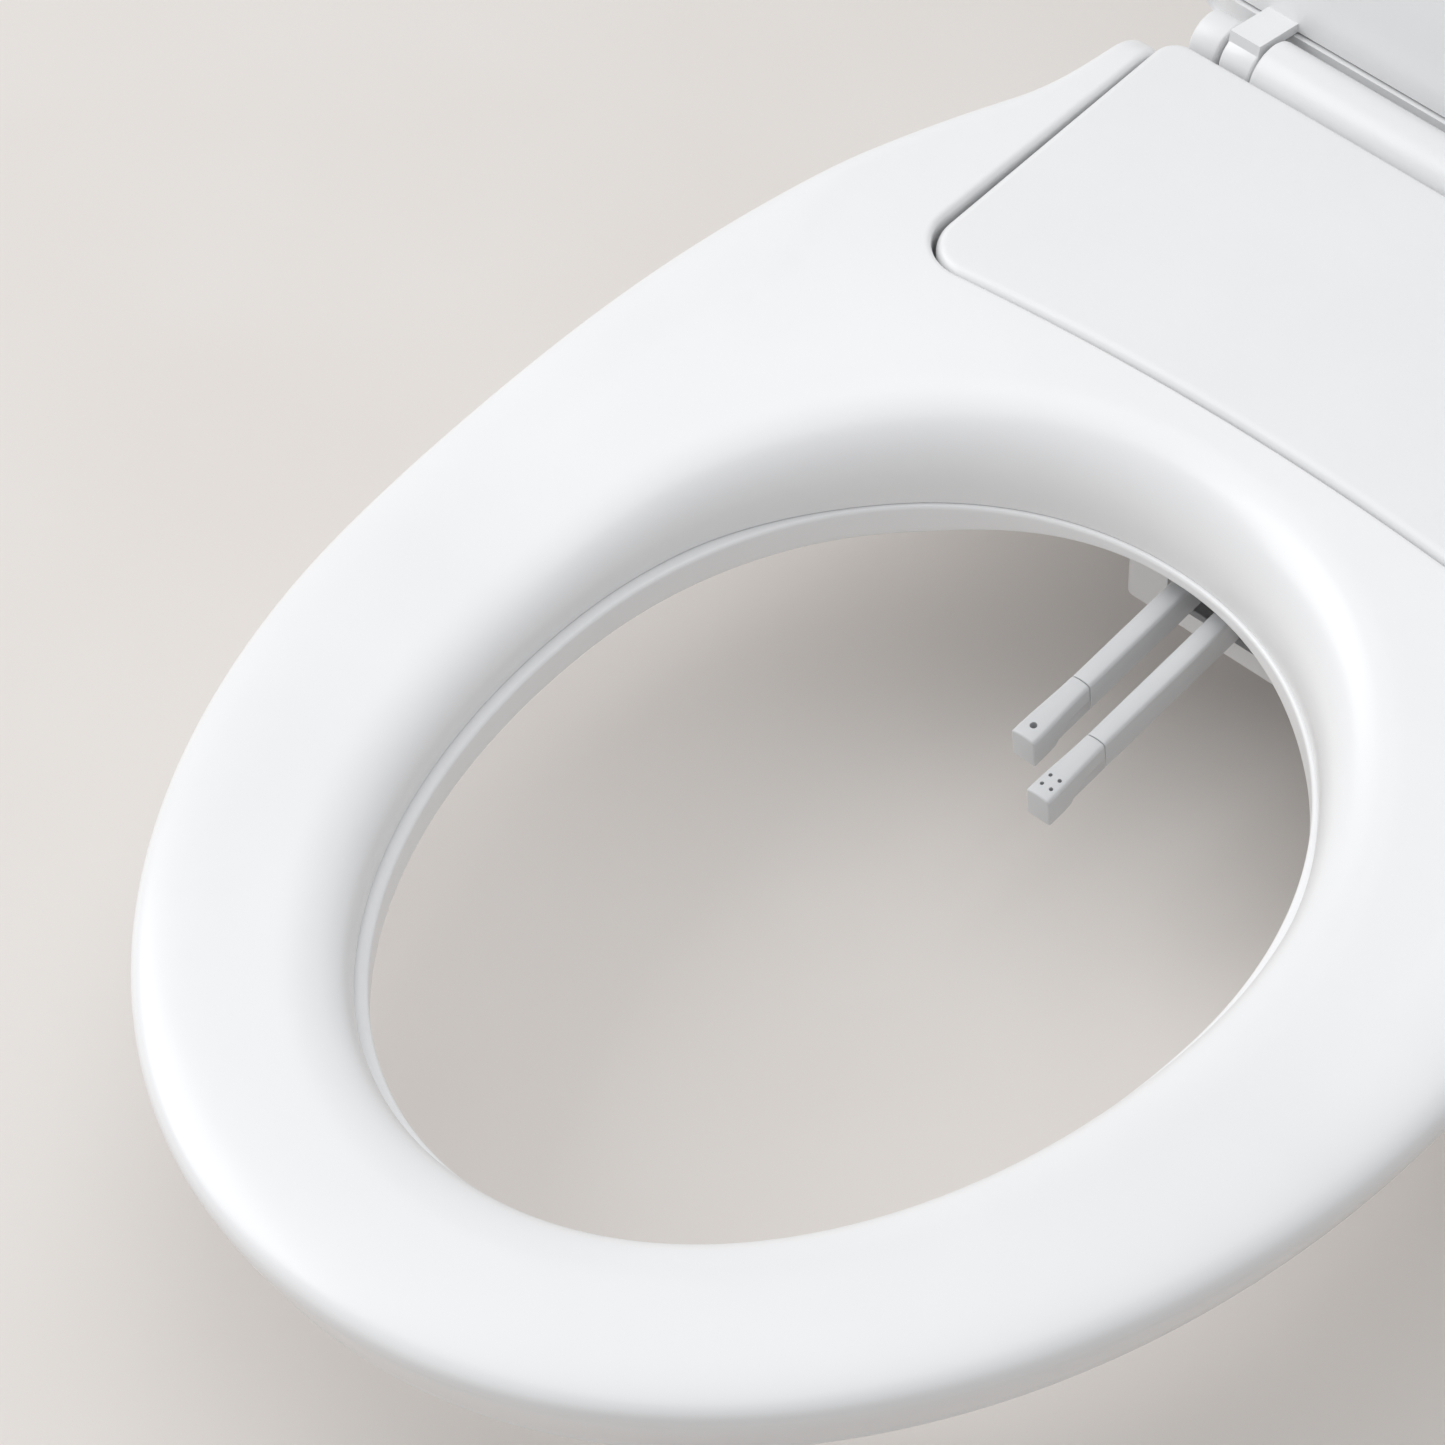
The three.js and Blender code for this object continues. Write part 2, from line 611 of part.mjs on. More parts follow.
function baseTray() {
  const outside = prism(housingLoop(0, TRAY_FRONT_Y), TRAY_BOTTOM, SPLIT_Z);
  const hollow = prism(housingLoop(SHELL, TRAY_FRONT_Y), TRAY_BOTTOM + 2.2, SPLIT_Z + 5);
  const raised = block([-CHANNEL.halfWidth - 2, CHANNEL.frontY - 2, 2],
    [CHANNEL.halfWidth + 2, HOUSING_REAR_Y - 1, CHANNEL.top + 2]);
  const channel = block([-CHANNEL.halfWidth, CHANNEL.frontY, 0], [CHANNEL.halfWidth, 70, CHANNEL.top]);
  const x0 = NOZZLE_CENTRE_X - 37;
  const x1 = NOZZLE_CENTRE_X + 37;
  const bay = block([x0, -100, -5], [x1, -58, 30]);
  const run = block([NOZZLE_CENTRE_X - 21, -60, -5], [NOZZLE_CENTRE_X + 21, 16, 14]);
  const duct = block([-60, -100, 3.6], [-40, -80, 15]);
  const shell = join(cut(outside, hollow), raised);
  return cut(shell, channel, bay, run, duct, ...rearWallOpenings(), ...buttonHoles());
}

function receiverLens() {
  return prism(roundedRectangle([88.4, -69.6], [107.6, -60.4], 3), 43.5, 47.3);
}

function addHousing() {
  add(model, 'base_tray', baseTray(), WHITE);
  add(model, 'top_cover', topCover(), SATIN_WHITE);
  add(model, 'receiver_lens', receiverLens(), SMOKED);
  const seatDamper = rod([61, SEAT_AXIS.y, SEAT_AXIS.z], [111.5, SEAT_AXIS.y, SEAT_AXIS.z], 8.5);
  add(model, 'seat_damper', seatDamper, INNER_GREY);
  const lidDamper = rod([-87.5, LID_AXIS.y, LID_AXIS.z], [-40, LID_AXIS.y, LID_AXIS.z], 7.6);
  add(model, 'lid_damper', lidDamper, INNER_GREY);
}

// ---- water path and drying ----

function waterInlet() {
  const { x, z, radius } = INLET;
  const body = join(rod([x, 44, z], [x, 76, z], radius), rod([x, HOUSING_REAR_Y + 0.4, z], [x, 66, z], 12, 6));
  return cut(body, rod([x, 56, z], [x, 80, z], 6.5));
}

function solenoidValve() {
  const body = block([-112, 20, 9], [-86, 43.5, 23]);
  const coil = rod([-99, 31, 22.5], [-99, 31, 25.8], 9);
  return join(body, coil);
}

function flowSensor() {
  return join(rod([-85.6, 30, 16], [-62, 30, 16], 6), rod([-74, 30, 12], [-74, 30, 25], 8));
}

function instantHeater() {
  const core = block([42, -72, 9], [108, -44, 27]);
  const caps = [[38, 43], [107, 112]].map(([a, b]) => block([a, -70, 11], [b, -46, 25]));
  return join(core, ...caps);
}

function waterPump() {
  return join(rod([34, -26, 19], [62, -26, 19], 9.5), block([61.5, -35, 10], [74, -17, 28]));
}

function distributorValve() {
  const z = 29;
  return join(rod([2, 2, z], [2, 2, z + 8], 13), rod([2, 2, z + 7.5], [2, 2, z + 17], 9));
}

function blowerHousing() {
  const body = join(rod([-82, -34, 9.5], [-82, -34, 33], 28), block([-62, -62, 9.5], [-46, -34, 33]));
  const cavity = rod([-82, -34, 12], [-82, -34, 31], 25.5);
  const eye = rod([-82, -34, 30], [-82, -34, 36], 14);
  const outlet = block([-60, -66, 12], [-48, -34, 31]);
  return cut(body, cavity, eye, outlet);
}

// A drum of flat blades on a disc, turning on a vertical axis.
function bladeWheel(radius, height, blades) {
  const disc = rod([0, 0, 0], [0, 0, 1.6], radius, 28);
  const hub = rod([0, 0, 0], [0, 0, height], radius * 0.2, 12);
  const fins = range(blades, (i) => {
    const fin = block([radius * 0.68, -0.6, 1], [radius * 0.96, 0.6, height]);
    return fin.rotateZ(i / blades * 2 * Math.PI);
  });
  return join(disc, hub, ...fins);
}

function dryerDuct() {
  const outside = block([-59, -97.5, 4], [-41.5, -62.4, 14.6]);
  const lift = block([-59, -76, 4], [-46.4, -62.4, 32]);
  const bore = block([-57, -100, 6], [-43.5, -68, 12.6]);
  const riser = block([-57, -74, 6], [-48.4, -60, 30]);
  return cut(join(outside, lift), bore, riser);
}

function deodoriserHousing() {
  const body = block([58, -3, 9.2], [102, 30, 24.8]);
  const cavity = rod([80, 13, 11.5], [80, 13, 30], 14.5);
  const rearPort = block([66, 20, 12], [94, 40, 23]);
  return cut(body, cavity, rearPort);
}

function filterCartridge() {
  const { x, y, z } = FILTER;
  const body = block([x[0], y[0], z[0]], [x[1], y[1] + 0.2, z[1]]);
  const cap = block([x[0] - 2, HOUSING_REAR_Y + 0.4, z[0] - 1.5], [x[1] + 2, HOUSING_REAR_Y + 3, z[1] + 1.5]);
  const neck = block([x[0] + 2, y[1] - 1, z[0] + 1], [x[1] - 2, HOUSING_REAR_Y + 1, z[1] - 1]);
  const slots = range(5, (i) => {
    const left = x[0] + 3 + i * 6.4;
    return block([left, y[0] - 1, z[0] + 3], [left + 4, y[0] + 20, z[1] - 3]);
  });
  return cut(join(body, cap, neck), ...slots);
}

function addWorks() {
  add(model, 'water_inlet', waterInlet(), BRASS);
  const strainer = cut(rod([INLET.x, 57, INLET.z], [INLET.x, 73, INLET.z], 5.8),
    rod([INLET.x, 59, INLET.z], [INLET.x, 74, INLET.z], 4.2));
  add(model, 'inlet_strainer', strainer, STEEL);
  add(model, 'solenoid_valve', solenoidValve(), BLACK_PLASTIC);
  add(model, 'flow_sensor', flowSensor(), INNER_GREY);
  add(model, 'instant_heater', instantHeater(), STEEL);
  add(model, 'water_pump', waterPump(), BLACK_PLASTIC);
  add(model, 'distributor_valve', distributorValve(), INNER_GREY);
  add(model, 'blower_housing', blowerHousing(), INNER_GREY);
  add(model, 'blower_wheel', bladeWheel(23, 14, 10).translate(-82, -34, 14), BLACK_PLASTIC);
  add(model, 'dryer_duct', dryerDuct(), INNER_GREY);
  add(model, 'deodoriser_housing', deodoriserHousing(), INNER_GREY);
  add(model, 'deodoriser_wheel', bladeWheel(13, 9, 6).translate(80, 13, 13), BLACK_PLASTIC);
  add(model, 'filter_cartridge', filterCartridge(), BUTTON_GREY);
  add(model, 'control_board', join(block([-116, -70, 38], [-18, 8, 39.6]), block([-100, -10, 39], [-76, 4, 44]),
    block([-60, -50, 39], [-40, -30, 42])), BOARD_GREEN);
  add(model, 'power_supply', join(block([34, -66, 31], [114, -2, 33]), block([40, -60, 32.5], [70, -30, 44]),
    block([78, -56, 32.5], [108, -40, 43])), BOARD_GREEN);
  const gland = join(rod([GLAND.x, 52, GLAND.z], [GLAND.x, 65, GLAND.z], GLAND.radius),
    rod([GLAND.x, 62.4, GLAND.z], [GLAND.x, 68, GLAND.z], 8.5));
  add(model, 'power_gland', cut(gland, rod([GLAND.x, 50, GLAND.z], [GLAND.x, 70, GLAND.z], 3.6)), BLACK_PLASTIC);
}

// ---- nozzles ----

// A cross-section with a flat base and a round top, drawn across the slide.
function nozzleSection(width, height) {
  const half = width / 2;
  const shoulder = height * 0.15;
  const top = range(9, (i) => {
    const angle = i / 8 * Math.PI;
    return [half * Math.cos(angle), shoulder + (height / 2 - shoulder) * Math.sin(angle)];
  });
  return [[-half + 1.5, -height / 2], [half - 1.5, -height / 2], [half, -height / 2 + 1.5], ...top,
    [-half, -height / 2 + 1.5]];
}

// A bar of that section lying along Y.
function nozzleBar(width, height, y0, y1) {
  const shape = new THREE.Shape(nozzleSection(width, height).map(([x, z]) => new THREE.Vector2(x, z)));
  const geometry = new THREE.ExtrudeGeometry(shape, { depth: y1 - y0, bevelEnabled: false });
  return geometry.rotateX(Math.PI / 2).translate(0, y1, 0);
}

function nozzleTip(frontY, holes) {
  const body = meet(nozzleBar(TIP.width, TIP.height, frontY, frontY + TIP.length - 7),
    block([-9, frontY, -9], [9, frontY + TIP.length, TIP.height / 2 - 1.2]));
  const neck = nozzleBar(TUBE.width, TUBE.height, frontY + TIP.length - 8, frontY + TIP.length);
  const jets = holes.map(([x, y]) => rod([x, frontY + y, 0], [x, frontY + y, 9], 0.8, 10));
  return cut(join(body, neck), ...jets);
}

function gearOutline(teeth, module) {
  const radius = teeth * module / 2;
  const pitch = 2 * Math.PI / teeth;
  const profile = [[-0.32, -1.15], [-0.12, 0.85], [0.12, 0.85], [0.32, -1.15]];
  return range(teeth, (i) => profile.map(([turn, out]) => {
    const angle = (i + turn) * pitch;
    const reach = radius + out * module;
    return [reach * Math.cos(angle), reach * Math.sin(angle)];
  })).flat();
}

// The rack under a tube: a bar whose teeth point down, with a tooth space at the pinion's centre line.
function nozzleRack(y0, y1, phaseY) {
  const top = -TUBE.height / 2 - 0.3;
  const pitchZ = top - 1.7 - RACK_MODULE;
  const pitch = Math.PI * RACK_MODULE;
  const first = Math.ceil((y0 + 1.8 - phaseY) / pitch - 0.5);
  const last = Math.floor((y1 - 1.8 - phaseY) / pitch - 0.5);
  const teeth = range(last - first + 1, (i) => {
    const centre = phaseY + (first + i + 0.5) * pitch;
    return [[-0.34, 0.95], [-0.1, -0.85], [0.1, -0.85], [0.34, 0.95]].map(([along, up]) => [
      centre + along * pitch, pitchZ + up * RACK_MODULE]);
  }).flat();
  const outline = [...teeth, [y1, pitchZ + 0.95], [y1, top], [y0, top], [y0, pitchZ + 0.95]];
  const shape = new THREE.Shape(outline.map(([y, z]) => new THREE.Vector2(y, z)));
  const bar = new THREE.ExtrudeGeometry(shape, { depth: 5, bevelEnabled: false });
  return bar.rotateX(Math.PI / 2).rotateZ(Math.PI / 2).translate(-2.5, 0, 0);
}

const PINION_RADIUS = PINION_TEETH * RACK_MODULE / 2;
const PINION_Z = -TUBE.height / 2 - 2 - RACK_MODULE - PINION_RADIUS;

// The pinion turns on X. One tooth points up into the rack's tooth space.
function pinion() {
  const outline = gearOutline(PINION_TEETH, RACK_MODULE).map(([a, b]) => new THREE.Vector2(a, b));
  const wheel = new THREE.ExtrudeGeometry(new THREE.Shape(outline), { depth: 6, bevelEnabled: false });
  wheel.translate(0, 0, -3).rotateY(Math.PI / 2);
  return wheel;
}

// The slide that guides both tubes: a bridge above them with skirts and a middle rib.
function nozzleCarriage() {
  const wall = 1.8;
  const halfWidth = NOZZLE_PITCH / 2 + TIP.width / 2 + RUNNING_GAP + wall;
  const roofZ = TUBE.height / 2 + 0.6;
  const roof = block([-halfWidth, 26, roofZ], [halfWidth, 60, roofZ + 2]);
  const walls = [-halfWidth, -wall / 2, halfWidth - wall].map((x) => block([x, 26, -5], [x + wall, 60, roofZ + 1]));
  return join(roof, ...walls);
}

function nozzleBay() {
  const x = [-35, 35];
  const outside = block([x[0], -104, -22], [x[1], -59, 10]);
  const lower = block([x[0] + 2, -102, -20], [x[1] - 2, -61, 20]);
  const window = block([-19, -110, -14], [19, -100, 20]);
  const tail = block([-20.5, -70, -6], [20.5, -50, 20]);
  return cut(outside, lower, window, tail).translate(NOZZLE_CENTRE_X, 0, 0);
}

// The shutter in front of the nozzles, swung up to the open position under the seat.
function nozzleGate() {
  const plate = prism(roundedRectangle([-21, -15], [21, 0], 4), 0, 1.4);
  const lugs = [-20, 17.5].map((x) => block([x, -3, -2.5], [x + 2.5, 0.5, 1]));
  return join(plate, ...lugs).translate(NOZZLE_CENTRE_X, -97.5, 10.8);
}

function addNozzles() {
  add(model, 'nozzle_bay', nozzleBay(), SATIN_WHITE);
  add(model, 'nozzle_gate', nozzleGate(), NOZZLE_GREY);
  const slide = new THREE.Group();
  slide.position.set(NOZZLE_CENTRE_X, NOZZLE_ORIGIN.y, NOZZLE_ORIGIN.z);
  slide.rotation.x = THREE.MathUtils.degToRad(NOZZLE_TILT_DEG);
  model.add(slide);
  add(slide, 'nozzle_carriage', nozzleCarriage(), INNER_GREY);
  const jets = [[[0, 5]], [[-1.6, 4.5], [1.6, 4.5], [-1.6, 8.5], [1.6, 8.5]]];
  const kinds = ['rear_wash', 'front_wash'];
  kinds.forEach((kind, i) => {
    const side = i === 0 ? -1 : 1;
    const lane = new THREE.Group();
    lane.position.x = side * NOZZLE_PITCH / 2;
    slide.add(lane);
    const tubeFront = NOZZLE_FRONT_Y[i] + TIP.length + 0.3;
    const tubeRear = tubeFront + TUBE.length;
    add(lane, `${kind}_tip`, nozzleTip(NOZZLE_FRONT_Y[i], jets[i]), NOZZLE_GREY);
    add(lane, `${kind}_tube`, nozzleBar(TUBE.width, TUBE.height, tubeFront, tubeRear), NOZZLE_GREY);
    add(lane, `${kind}_rack`, nozzleRack(tubeFront, tubeRear, PINION_Y), INNER_GREY);
    add(lane, `${kind}_pinion`, pinion().translate(0, PINION_Y, PINION_Z), BLACK_PLASTIC);
    const motorX = side * 12;
    const motor = join(rod([motorX, PINION_Y, PINION_Z], [motorX + side * 11, PINION_Y, PINION_Z], 9.5),
      rod([side * 3.3, PINION_Y, PINION_Z], [motorX + side, PINION_Y, PINION_Z], 1.5, 10));
    add(lane, `${kind}_motor`, motor, STEEL);
  });
}

// ---- controls and mounting ----

function addControls() {
  ['power_button', 'wash_button'].forEach((name, i) => {
    const y = BUTTON_Y[i];
    const face = outerHalfWidth(y) - 3;
    const cap = rod([face - 6, y, BUTTON_Z], [face + 1.6, y, BUTTON_Z], 4.5, 20);
    const collar = rod([face - 8, y, BUTTON_Z], [face - 5.5, y, BUTTON_Z], 5.6, 20);
    add(model, name, join(cap, collar), BUTTON_GREY);
  });
  const face = outerHalfWidth(46) - 3;
  const thumb = block([-face - 2.5, 36.6, 8.6], [-face + 4, 55.4, 14.9]);
  const tongue = block([-face + 3, 42, 9], [-face + 16, 50, 12]);
  add(model, 'release_button', join(thumb, tongue), BUTTON_GREY);
}

function mountingPlate() {
  const half = PLATE.width / 2;
  const sheet = prism(roundedRectangle([-half, PLATE.frontY], [half, PLATE.rearY], 8), 0, PLATE.thickness);
  const rails = [-half, half - 4].map((x) => block([x, -18, 2], [x + 4, 24, 5]));
  const slots = [-BOLT_X, BOLT_X].map((x) => prism(roundedRectangle([x - 4.5, -15], [x + 4.5, 15], 4.4), -1, 4));
  return cut(join(sheet, ...rails), ...slots);
}

function addMounting() {
  add(model, 'mounting_plate', mountingPlate(), BLACK_PLASTIC);
  for (const [name, side] of sides) {
    const x = side * BOLT_X;
    const bolt = join(rod([x, 0, BOLT_END_Z], [x, 0, 4], 3.8, 16), rod([x, 0, 3.3], [x, 0, 5.4], 8.5, 20));
    add(model, `mounting_bolt_${name}`, bolt, STEEL);
    const washer = cut(rod([x, 0, -26], [x, 0, -22], 14), rod([x, 0, -30], [x, 0, -20], 4.2, 16));
    add(model, `rubber_washer_${name}`, washer, RUBBER);
    const wings = block([x - 19, -2, NUT_Z + 1], [x + 19, 2, NUT_Z + 11]);
    const nut = cut(join(rod([x, 0, NUT_Z], [x, 0, -26.4], 9), wings), rod([x, 0, -50], [x, 0, -20], 4.2, 16));
    add(model, `wing_nut_${name}`, nut, SATIN_WHITE);
  }
}

addSeat();
addLid();
addHousing();
addWorks();
addNozzles();
addControls();
addMounting();

export default model;
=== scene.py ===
"""Electric bidet seat with its lid up and both wash nozzles out: the visual model round the CAD frame.

Shapes are worked out in millimetres in the CAD's own axes (+X right, -Y front, +Z up, origin between the
mounting bolts) and become metres when a mesh is made. A plan-shaped part, such as the ring or the cover, is
a Body: loops one above another, joined by bands of quads, with a filled surface inside the first and last.
"""
import json
import math

import bpy
import numpy as np
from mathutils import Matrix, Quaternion, Vector
from mathutils.geometry import delaunay_2d_cdt


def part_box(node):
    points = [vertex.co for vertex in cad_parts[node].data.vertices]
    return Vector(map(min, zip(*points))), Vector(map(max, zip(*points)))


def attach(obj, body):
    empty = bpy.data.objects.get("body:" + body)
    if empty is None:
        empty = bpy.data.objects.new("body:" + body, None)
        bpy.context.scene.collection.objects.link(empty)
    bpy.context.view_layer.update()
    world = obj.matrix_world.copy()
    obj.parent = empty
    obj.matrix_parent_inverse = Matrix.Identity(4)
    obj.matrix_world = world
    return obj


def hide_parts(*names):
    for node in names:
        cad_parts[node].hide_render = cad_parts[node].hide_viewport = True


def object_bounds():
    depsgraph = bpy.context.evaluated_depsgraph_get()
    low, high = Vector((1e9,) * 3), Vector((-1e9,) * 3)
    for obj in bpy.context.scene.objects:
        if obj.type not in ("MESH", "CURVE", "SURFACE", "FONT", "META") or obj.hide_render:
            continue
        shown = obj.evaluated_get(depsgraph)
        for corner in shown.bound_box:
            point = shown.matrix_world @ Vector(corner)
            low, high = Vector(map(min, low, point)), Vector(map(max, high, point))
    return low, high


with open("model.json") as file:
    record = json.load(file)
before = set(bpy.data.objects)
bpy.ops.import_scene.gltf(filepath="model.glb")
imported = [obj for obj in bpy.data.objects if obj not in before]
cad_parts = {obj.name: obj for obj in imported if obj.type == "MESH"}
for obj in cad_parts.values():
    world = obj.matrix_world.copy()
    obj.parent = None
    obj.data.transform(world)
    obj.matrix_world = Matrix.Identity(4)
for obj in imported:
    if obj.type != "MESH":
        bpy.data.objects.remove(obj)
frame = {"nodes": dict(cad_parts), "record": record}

CAD_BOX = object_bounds()
MM = 0.001
SIDES = {"left": -1, "right": 1}


def cad_box(node):
    """A CAD node's lowest and highest corner, in millimetres."""
    low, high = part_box(node)
    return np.array(low) / MM, np.array(high) / MM


# ---- driving sizes, in millimetres ----

SEAT_LOW, SEAT_HIGH = cad_box("seat_upper_shell")
SEAT_HALF_WIDTH = SEAT_HIGH[0]
SEAT_FRONT_Y = SEAT_LOW[1]
ARM_END_Y = SEAT_HIGH[1]
SEAT_WIDEST_Y = -228.0
SEAT_REAR_REACH = 329.0
SEAT_POWER = 2.05
ARM_FLARE_Y = -20.0
ARM_FLARE = 12.0
SEAT_TOP = 36.0
SEAT_RISE = 15.0
SEAT_FOOT = 2.0
SEAT_SKIN = 3.0
SKIRT_LIFT = 16.4
SEAT_CREASE = 26.3
SEAT_SEAM = 0.12
SEAT_AXIS_Y, SEAT_AXIS_Z = 14.0, 34.0
ARM_END_REACH = 15.5
OPENING_Y = -250.0
OPENING_HALF_WIDTH = 113.5
OPENING_REAR = 131.5
OPENING_FRONT = 166.5
OPENING_POINTS = 260
LIP = 4.0
REAR_LIP = 1.4
LIP_TOP = 18.6

PANEL_HALF_WIDTH = 124.5
PANEL_FRONT_Y = -84.0
PANEL_REAR_Y = 28.0
PANEL_BOW = 9.0
PANEL_CORNER = 15.0
PANEL_TOP = 50.5
PANEL_CROWN = 1.2
PANEL_CLIMB = 3.5
PANEL_GAP = 1.4
SPLIT_Z = 17.3
SHELF_Z = 32.0
CASE_WALL = 2.6
CASE_STEP = 3.0
CASE_CORNER = 8.0
HOUSING_REAR_Y = 62.0
TRAY_FRONT_Y = -94.0
TRAY_LOW = 1.0
TRAY_FLOOR = 3.2

LID_AXIS_Y, LID_AXIS_Z = 42.0, 44.0
LID_OPEN = math.radians(100)
LID_MIDDLE_Y = -215.0
LID_FIT = 0.998
LID_DOME = 13.9
LID_SKIN = 1.9
EAR_INNER_X, EAR_OUTER_X = 98.5, 110.0

FILTER_LOW, FILTER_HIGH = (62.0, 32.0, 9.4), (98.0, 61.4, 25.0)
INLET_X, INLET_Z, INLET_RADIUS = -98.0, 19.5, 9.5
GLAND_X, GLAND_Z, GLAND_RADIUS = 112.0, 12.0, 6.5
BUTTON_Y = {"power_button": 37.5, "wash_button": 49.5}
BUTTON_Z = 20.0
RELEASE_Y = 46.0
BOLT_X = 70.0
NUT_Z = -38.0
BOLT_END_Z = -70.0

NOZZLE_TILT = math.radians(5.5)
NOZZLE_CENTRE_X = 5.4
NOZZLE_PITCH = 17.0
NOZZLE_ORIGIN = np.array([NOZZLE_CENTRE_X, -127.0, 1.4])
TUBE_WIDTH, TUBE_HEIGHT, TUBE_LENGTH = 6.8, 7.0, 91.0
TIP_WIDTH, TIP_HEIGHT, TIP_LENGTH = 8.6, 9.5, 26.0
NOSE_DROP = 4.7
GUARD_LOW, GUARD_THICKNESS = -7.4, 0.35
NOZZLE_FRONT_Y = {"rear_wash": -55.5, "front_wash": -69.0}


# ---- meshes ----

BEVEL_STEPS = 3
CORNER_POINTS = 6


class Body:
    """The points and faces of one closed mesh."""

    def __init__(self):
        self.points = np.zeros((0, 3))
        self.faces = []

    def loop(self, points):
        """Adds points and gives back their numbers."""
        start = len(self.points)
        self.points = np.vstack([self.points, points])
        return np.arange(start, len(self.points))

    def band(self, low, high):
        """Quads between two loops of as many points. They face outwards when an anticlockwise loop rises."""
        after_low, after_high = np.roll(low, -1), np.roll(high, -1)
        self.faces += np.column_stack([low, after_low, after_high, high]).tolist()

    def bands(self, rows):
        """Bands down a list of loops, first to last, and the numbers of the first and last loop."""
        loops = [self.loop(row) for row in rows]
        for upper, lower in zip(loops, loops[1:]):
            self.band(lower, upper)
        return loops[0], loops[-1]

    def fill(self, rim, hole, height, up, grid):
        """A surface inside loop `rim` and outside loop `hole`, its inner points at `height(x, y)`."""
        rim_xy = self.points[rim, :2]
        hole_xy = self.points[hole, :2] if hole is not None else np.zeros((0, 2))
        edge = np.vstack([rim_xy, hole_xy])
        inner = hex_points(rim_xy, grid)
        keep = inside(inner, rim_xy) & (distance(inner, edge) > 0.6 * grid)
        if hole is not None:
            keep &= ~inside(inner, hole_xy)
        inner = inner[keep]
        added = self.loop(np.column_stack([inner, height(inner[:, 0], inner[:, 1])]))
        ids = np.concatenate([rim, hole if hole is not None else [], added]).astype(int)
        flat = [Vector(p) for p in np.vstack([edge, inner])]
        borders = ring_edges(0, len(rim_xy)) + ring_edges(len(rim_xy), len(hole_xy))
        verts, _, faces, origins, _, _ = delaunay_2d_cdt(flat, borders, [], 0, 1e-5)
        triangles = np.array([face for face in faces if len(face) == 3])
        centres = np.array(verts)[triangles].mean(1)
        keep = inside(centres, rim_xy)
        if hole is not None:
            keep &= ~inside(centres, hole_xy)
        source = np.array([ids[origin[0]] for origin in origins])
        found = source[triangles[keep]]
        self.faces += (found if up else found[:, ::-1]).tolist()

    def turned_about_lid_axis(self, angle):
        """Turns the body on the lid's hinge axis; a positive angle raises the front."""
        y, z = self.points[:, 1] - LID_AXIS_Y, self.points[:, 2] - LID_AXIS_Z
        c, s = math.cos(angle), math.sin(angle)
        self.points[:, 1] = LID_AXIS_Y + y * c + z * s
        self.points[:, 2] = LID_AXIS_Z - y * s + z * c
        return self


def ring_edges(start, count):
    """The edges of a closed ring of points, as pairs of numbers."""
    return [(start + i, start + (i + 1) % count) for i in range(count)]


def hex_points(loop, grid):
    """A staggered grid of points over a loop's extent, the same on both sides of x = 0."""
    low, high = loop.min(0), loop.max(0)
    half = math.ceil(max(-low[0], high[0]) / grid)
    rows = np.arange(low[1], high[1], grid * math.sqrt(3) / 2)
    points = [((i + (k % 2) / 2) * grid, y) for k, y in enumerate(rows) for i in range(-half, half + 1)]
    return np.array(points)


def inside(points, loop):
    """Whether each point lies inside a loop."""
    x, y = points[:, 0, None], points[:, 1, None]
    (x0, y0), (x1, y1) = loop.T, np.roll(loop, -1, 0).T
    crosses = (y0 > y) != (y1 > y)
    rise = np.where(y1 == y0, 1.0, y1 - y0)
    return (crosses & (x < x0 + (y - y0) / rise * (x1 - x0))).sum(1) % 2 == 1


def distance(points, loop):
    """Each point's distance from the nearest point of a dense loop."""
    return np.sqrt(((points[:, None] - loop[None]) ** 2).sum(2)).min(1)


def plan_body(rim_rows, hole_rows, top, bottom, grid=4.0):
    """A closed body. The rows run from the edge of the top surface, down the sides, to that of the bottom."""
    body = Body()
    rim_top, rim_bottom = body.bands(rim_rows)
    hole_top = hole_bottom = None
    if hole_rows:
        hole_top, hole_bottom = body.bands([row[::-1] for row in hole_rows])
    body.fill(rim_top, hole_top, top, True, grid)
    body.fill(rim_bottom, hole_bottom, bottom, False, grid)
    return body


def level(z):
    """A flat surface, for `plan_body`."""
    return lambda x, y: np.full(len(x), z)


def at_height(xy, z):
    """A plan loop's points at one height, or each at its own."""
    return np.column_stack([xy, np.broadcast_to(z, len(xy))])


def inset_row(loop, inset, z):
    """A plan loop moved inwards, at a height. Both may be one value, or one for each point."""
    return at_height(loop - outward(loop) * np.broadcast_to(inset, len(loop))[:, None], z)


def bend(radius):
    """A rounded edge's steps as (inset, distance from the end), from the end's face to the side."""
    angles = np.linspace(0, math.pi / 2, BEVEL_STEPS + 1)
    return [(radius * (1 - math.sin(a)), radius * (1 - math.cos(a))) for a in angles]


def extruded(profile, start, end, place, bevel=0.0):
    """A bar of one section. `profile` is anticlockwise seen from its end side, and `place(u, v, along)`
    gives the point of the section's (u, v) at a distance along the bar."""
    body = Body()
    profile = np.array(profile, float)
    away = outward(profile)
    ends = bend(bevel) if bevel else [(0.0, 0.0)]
    spans = [(start + along, inset) for inset, along in ends]
    spans += [(end - along, inset) for inset, along in reversed(ends)]
    loops = []
    for along, inset in spans:
        u, v = (profile - away * inset).T
        loops.append(body.loop(place(u, v, np.full(len(u), along))))
    for low, high in zip(loops, loops[1:]):
        body.band(low, high)
    body.faces += [loops[0][::-1].tolist(), loops[-1].tolist()]
    return body


def along_x(u, v, along):
    return np.column_stack([along, u, v])


def along_y(u, v, along):
    return np.column_stack([-u, along, v])


def along_z(u, v, along):
    return np.column_stack([u, v, along])


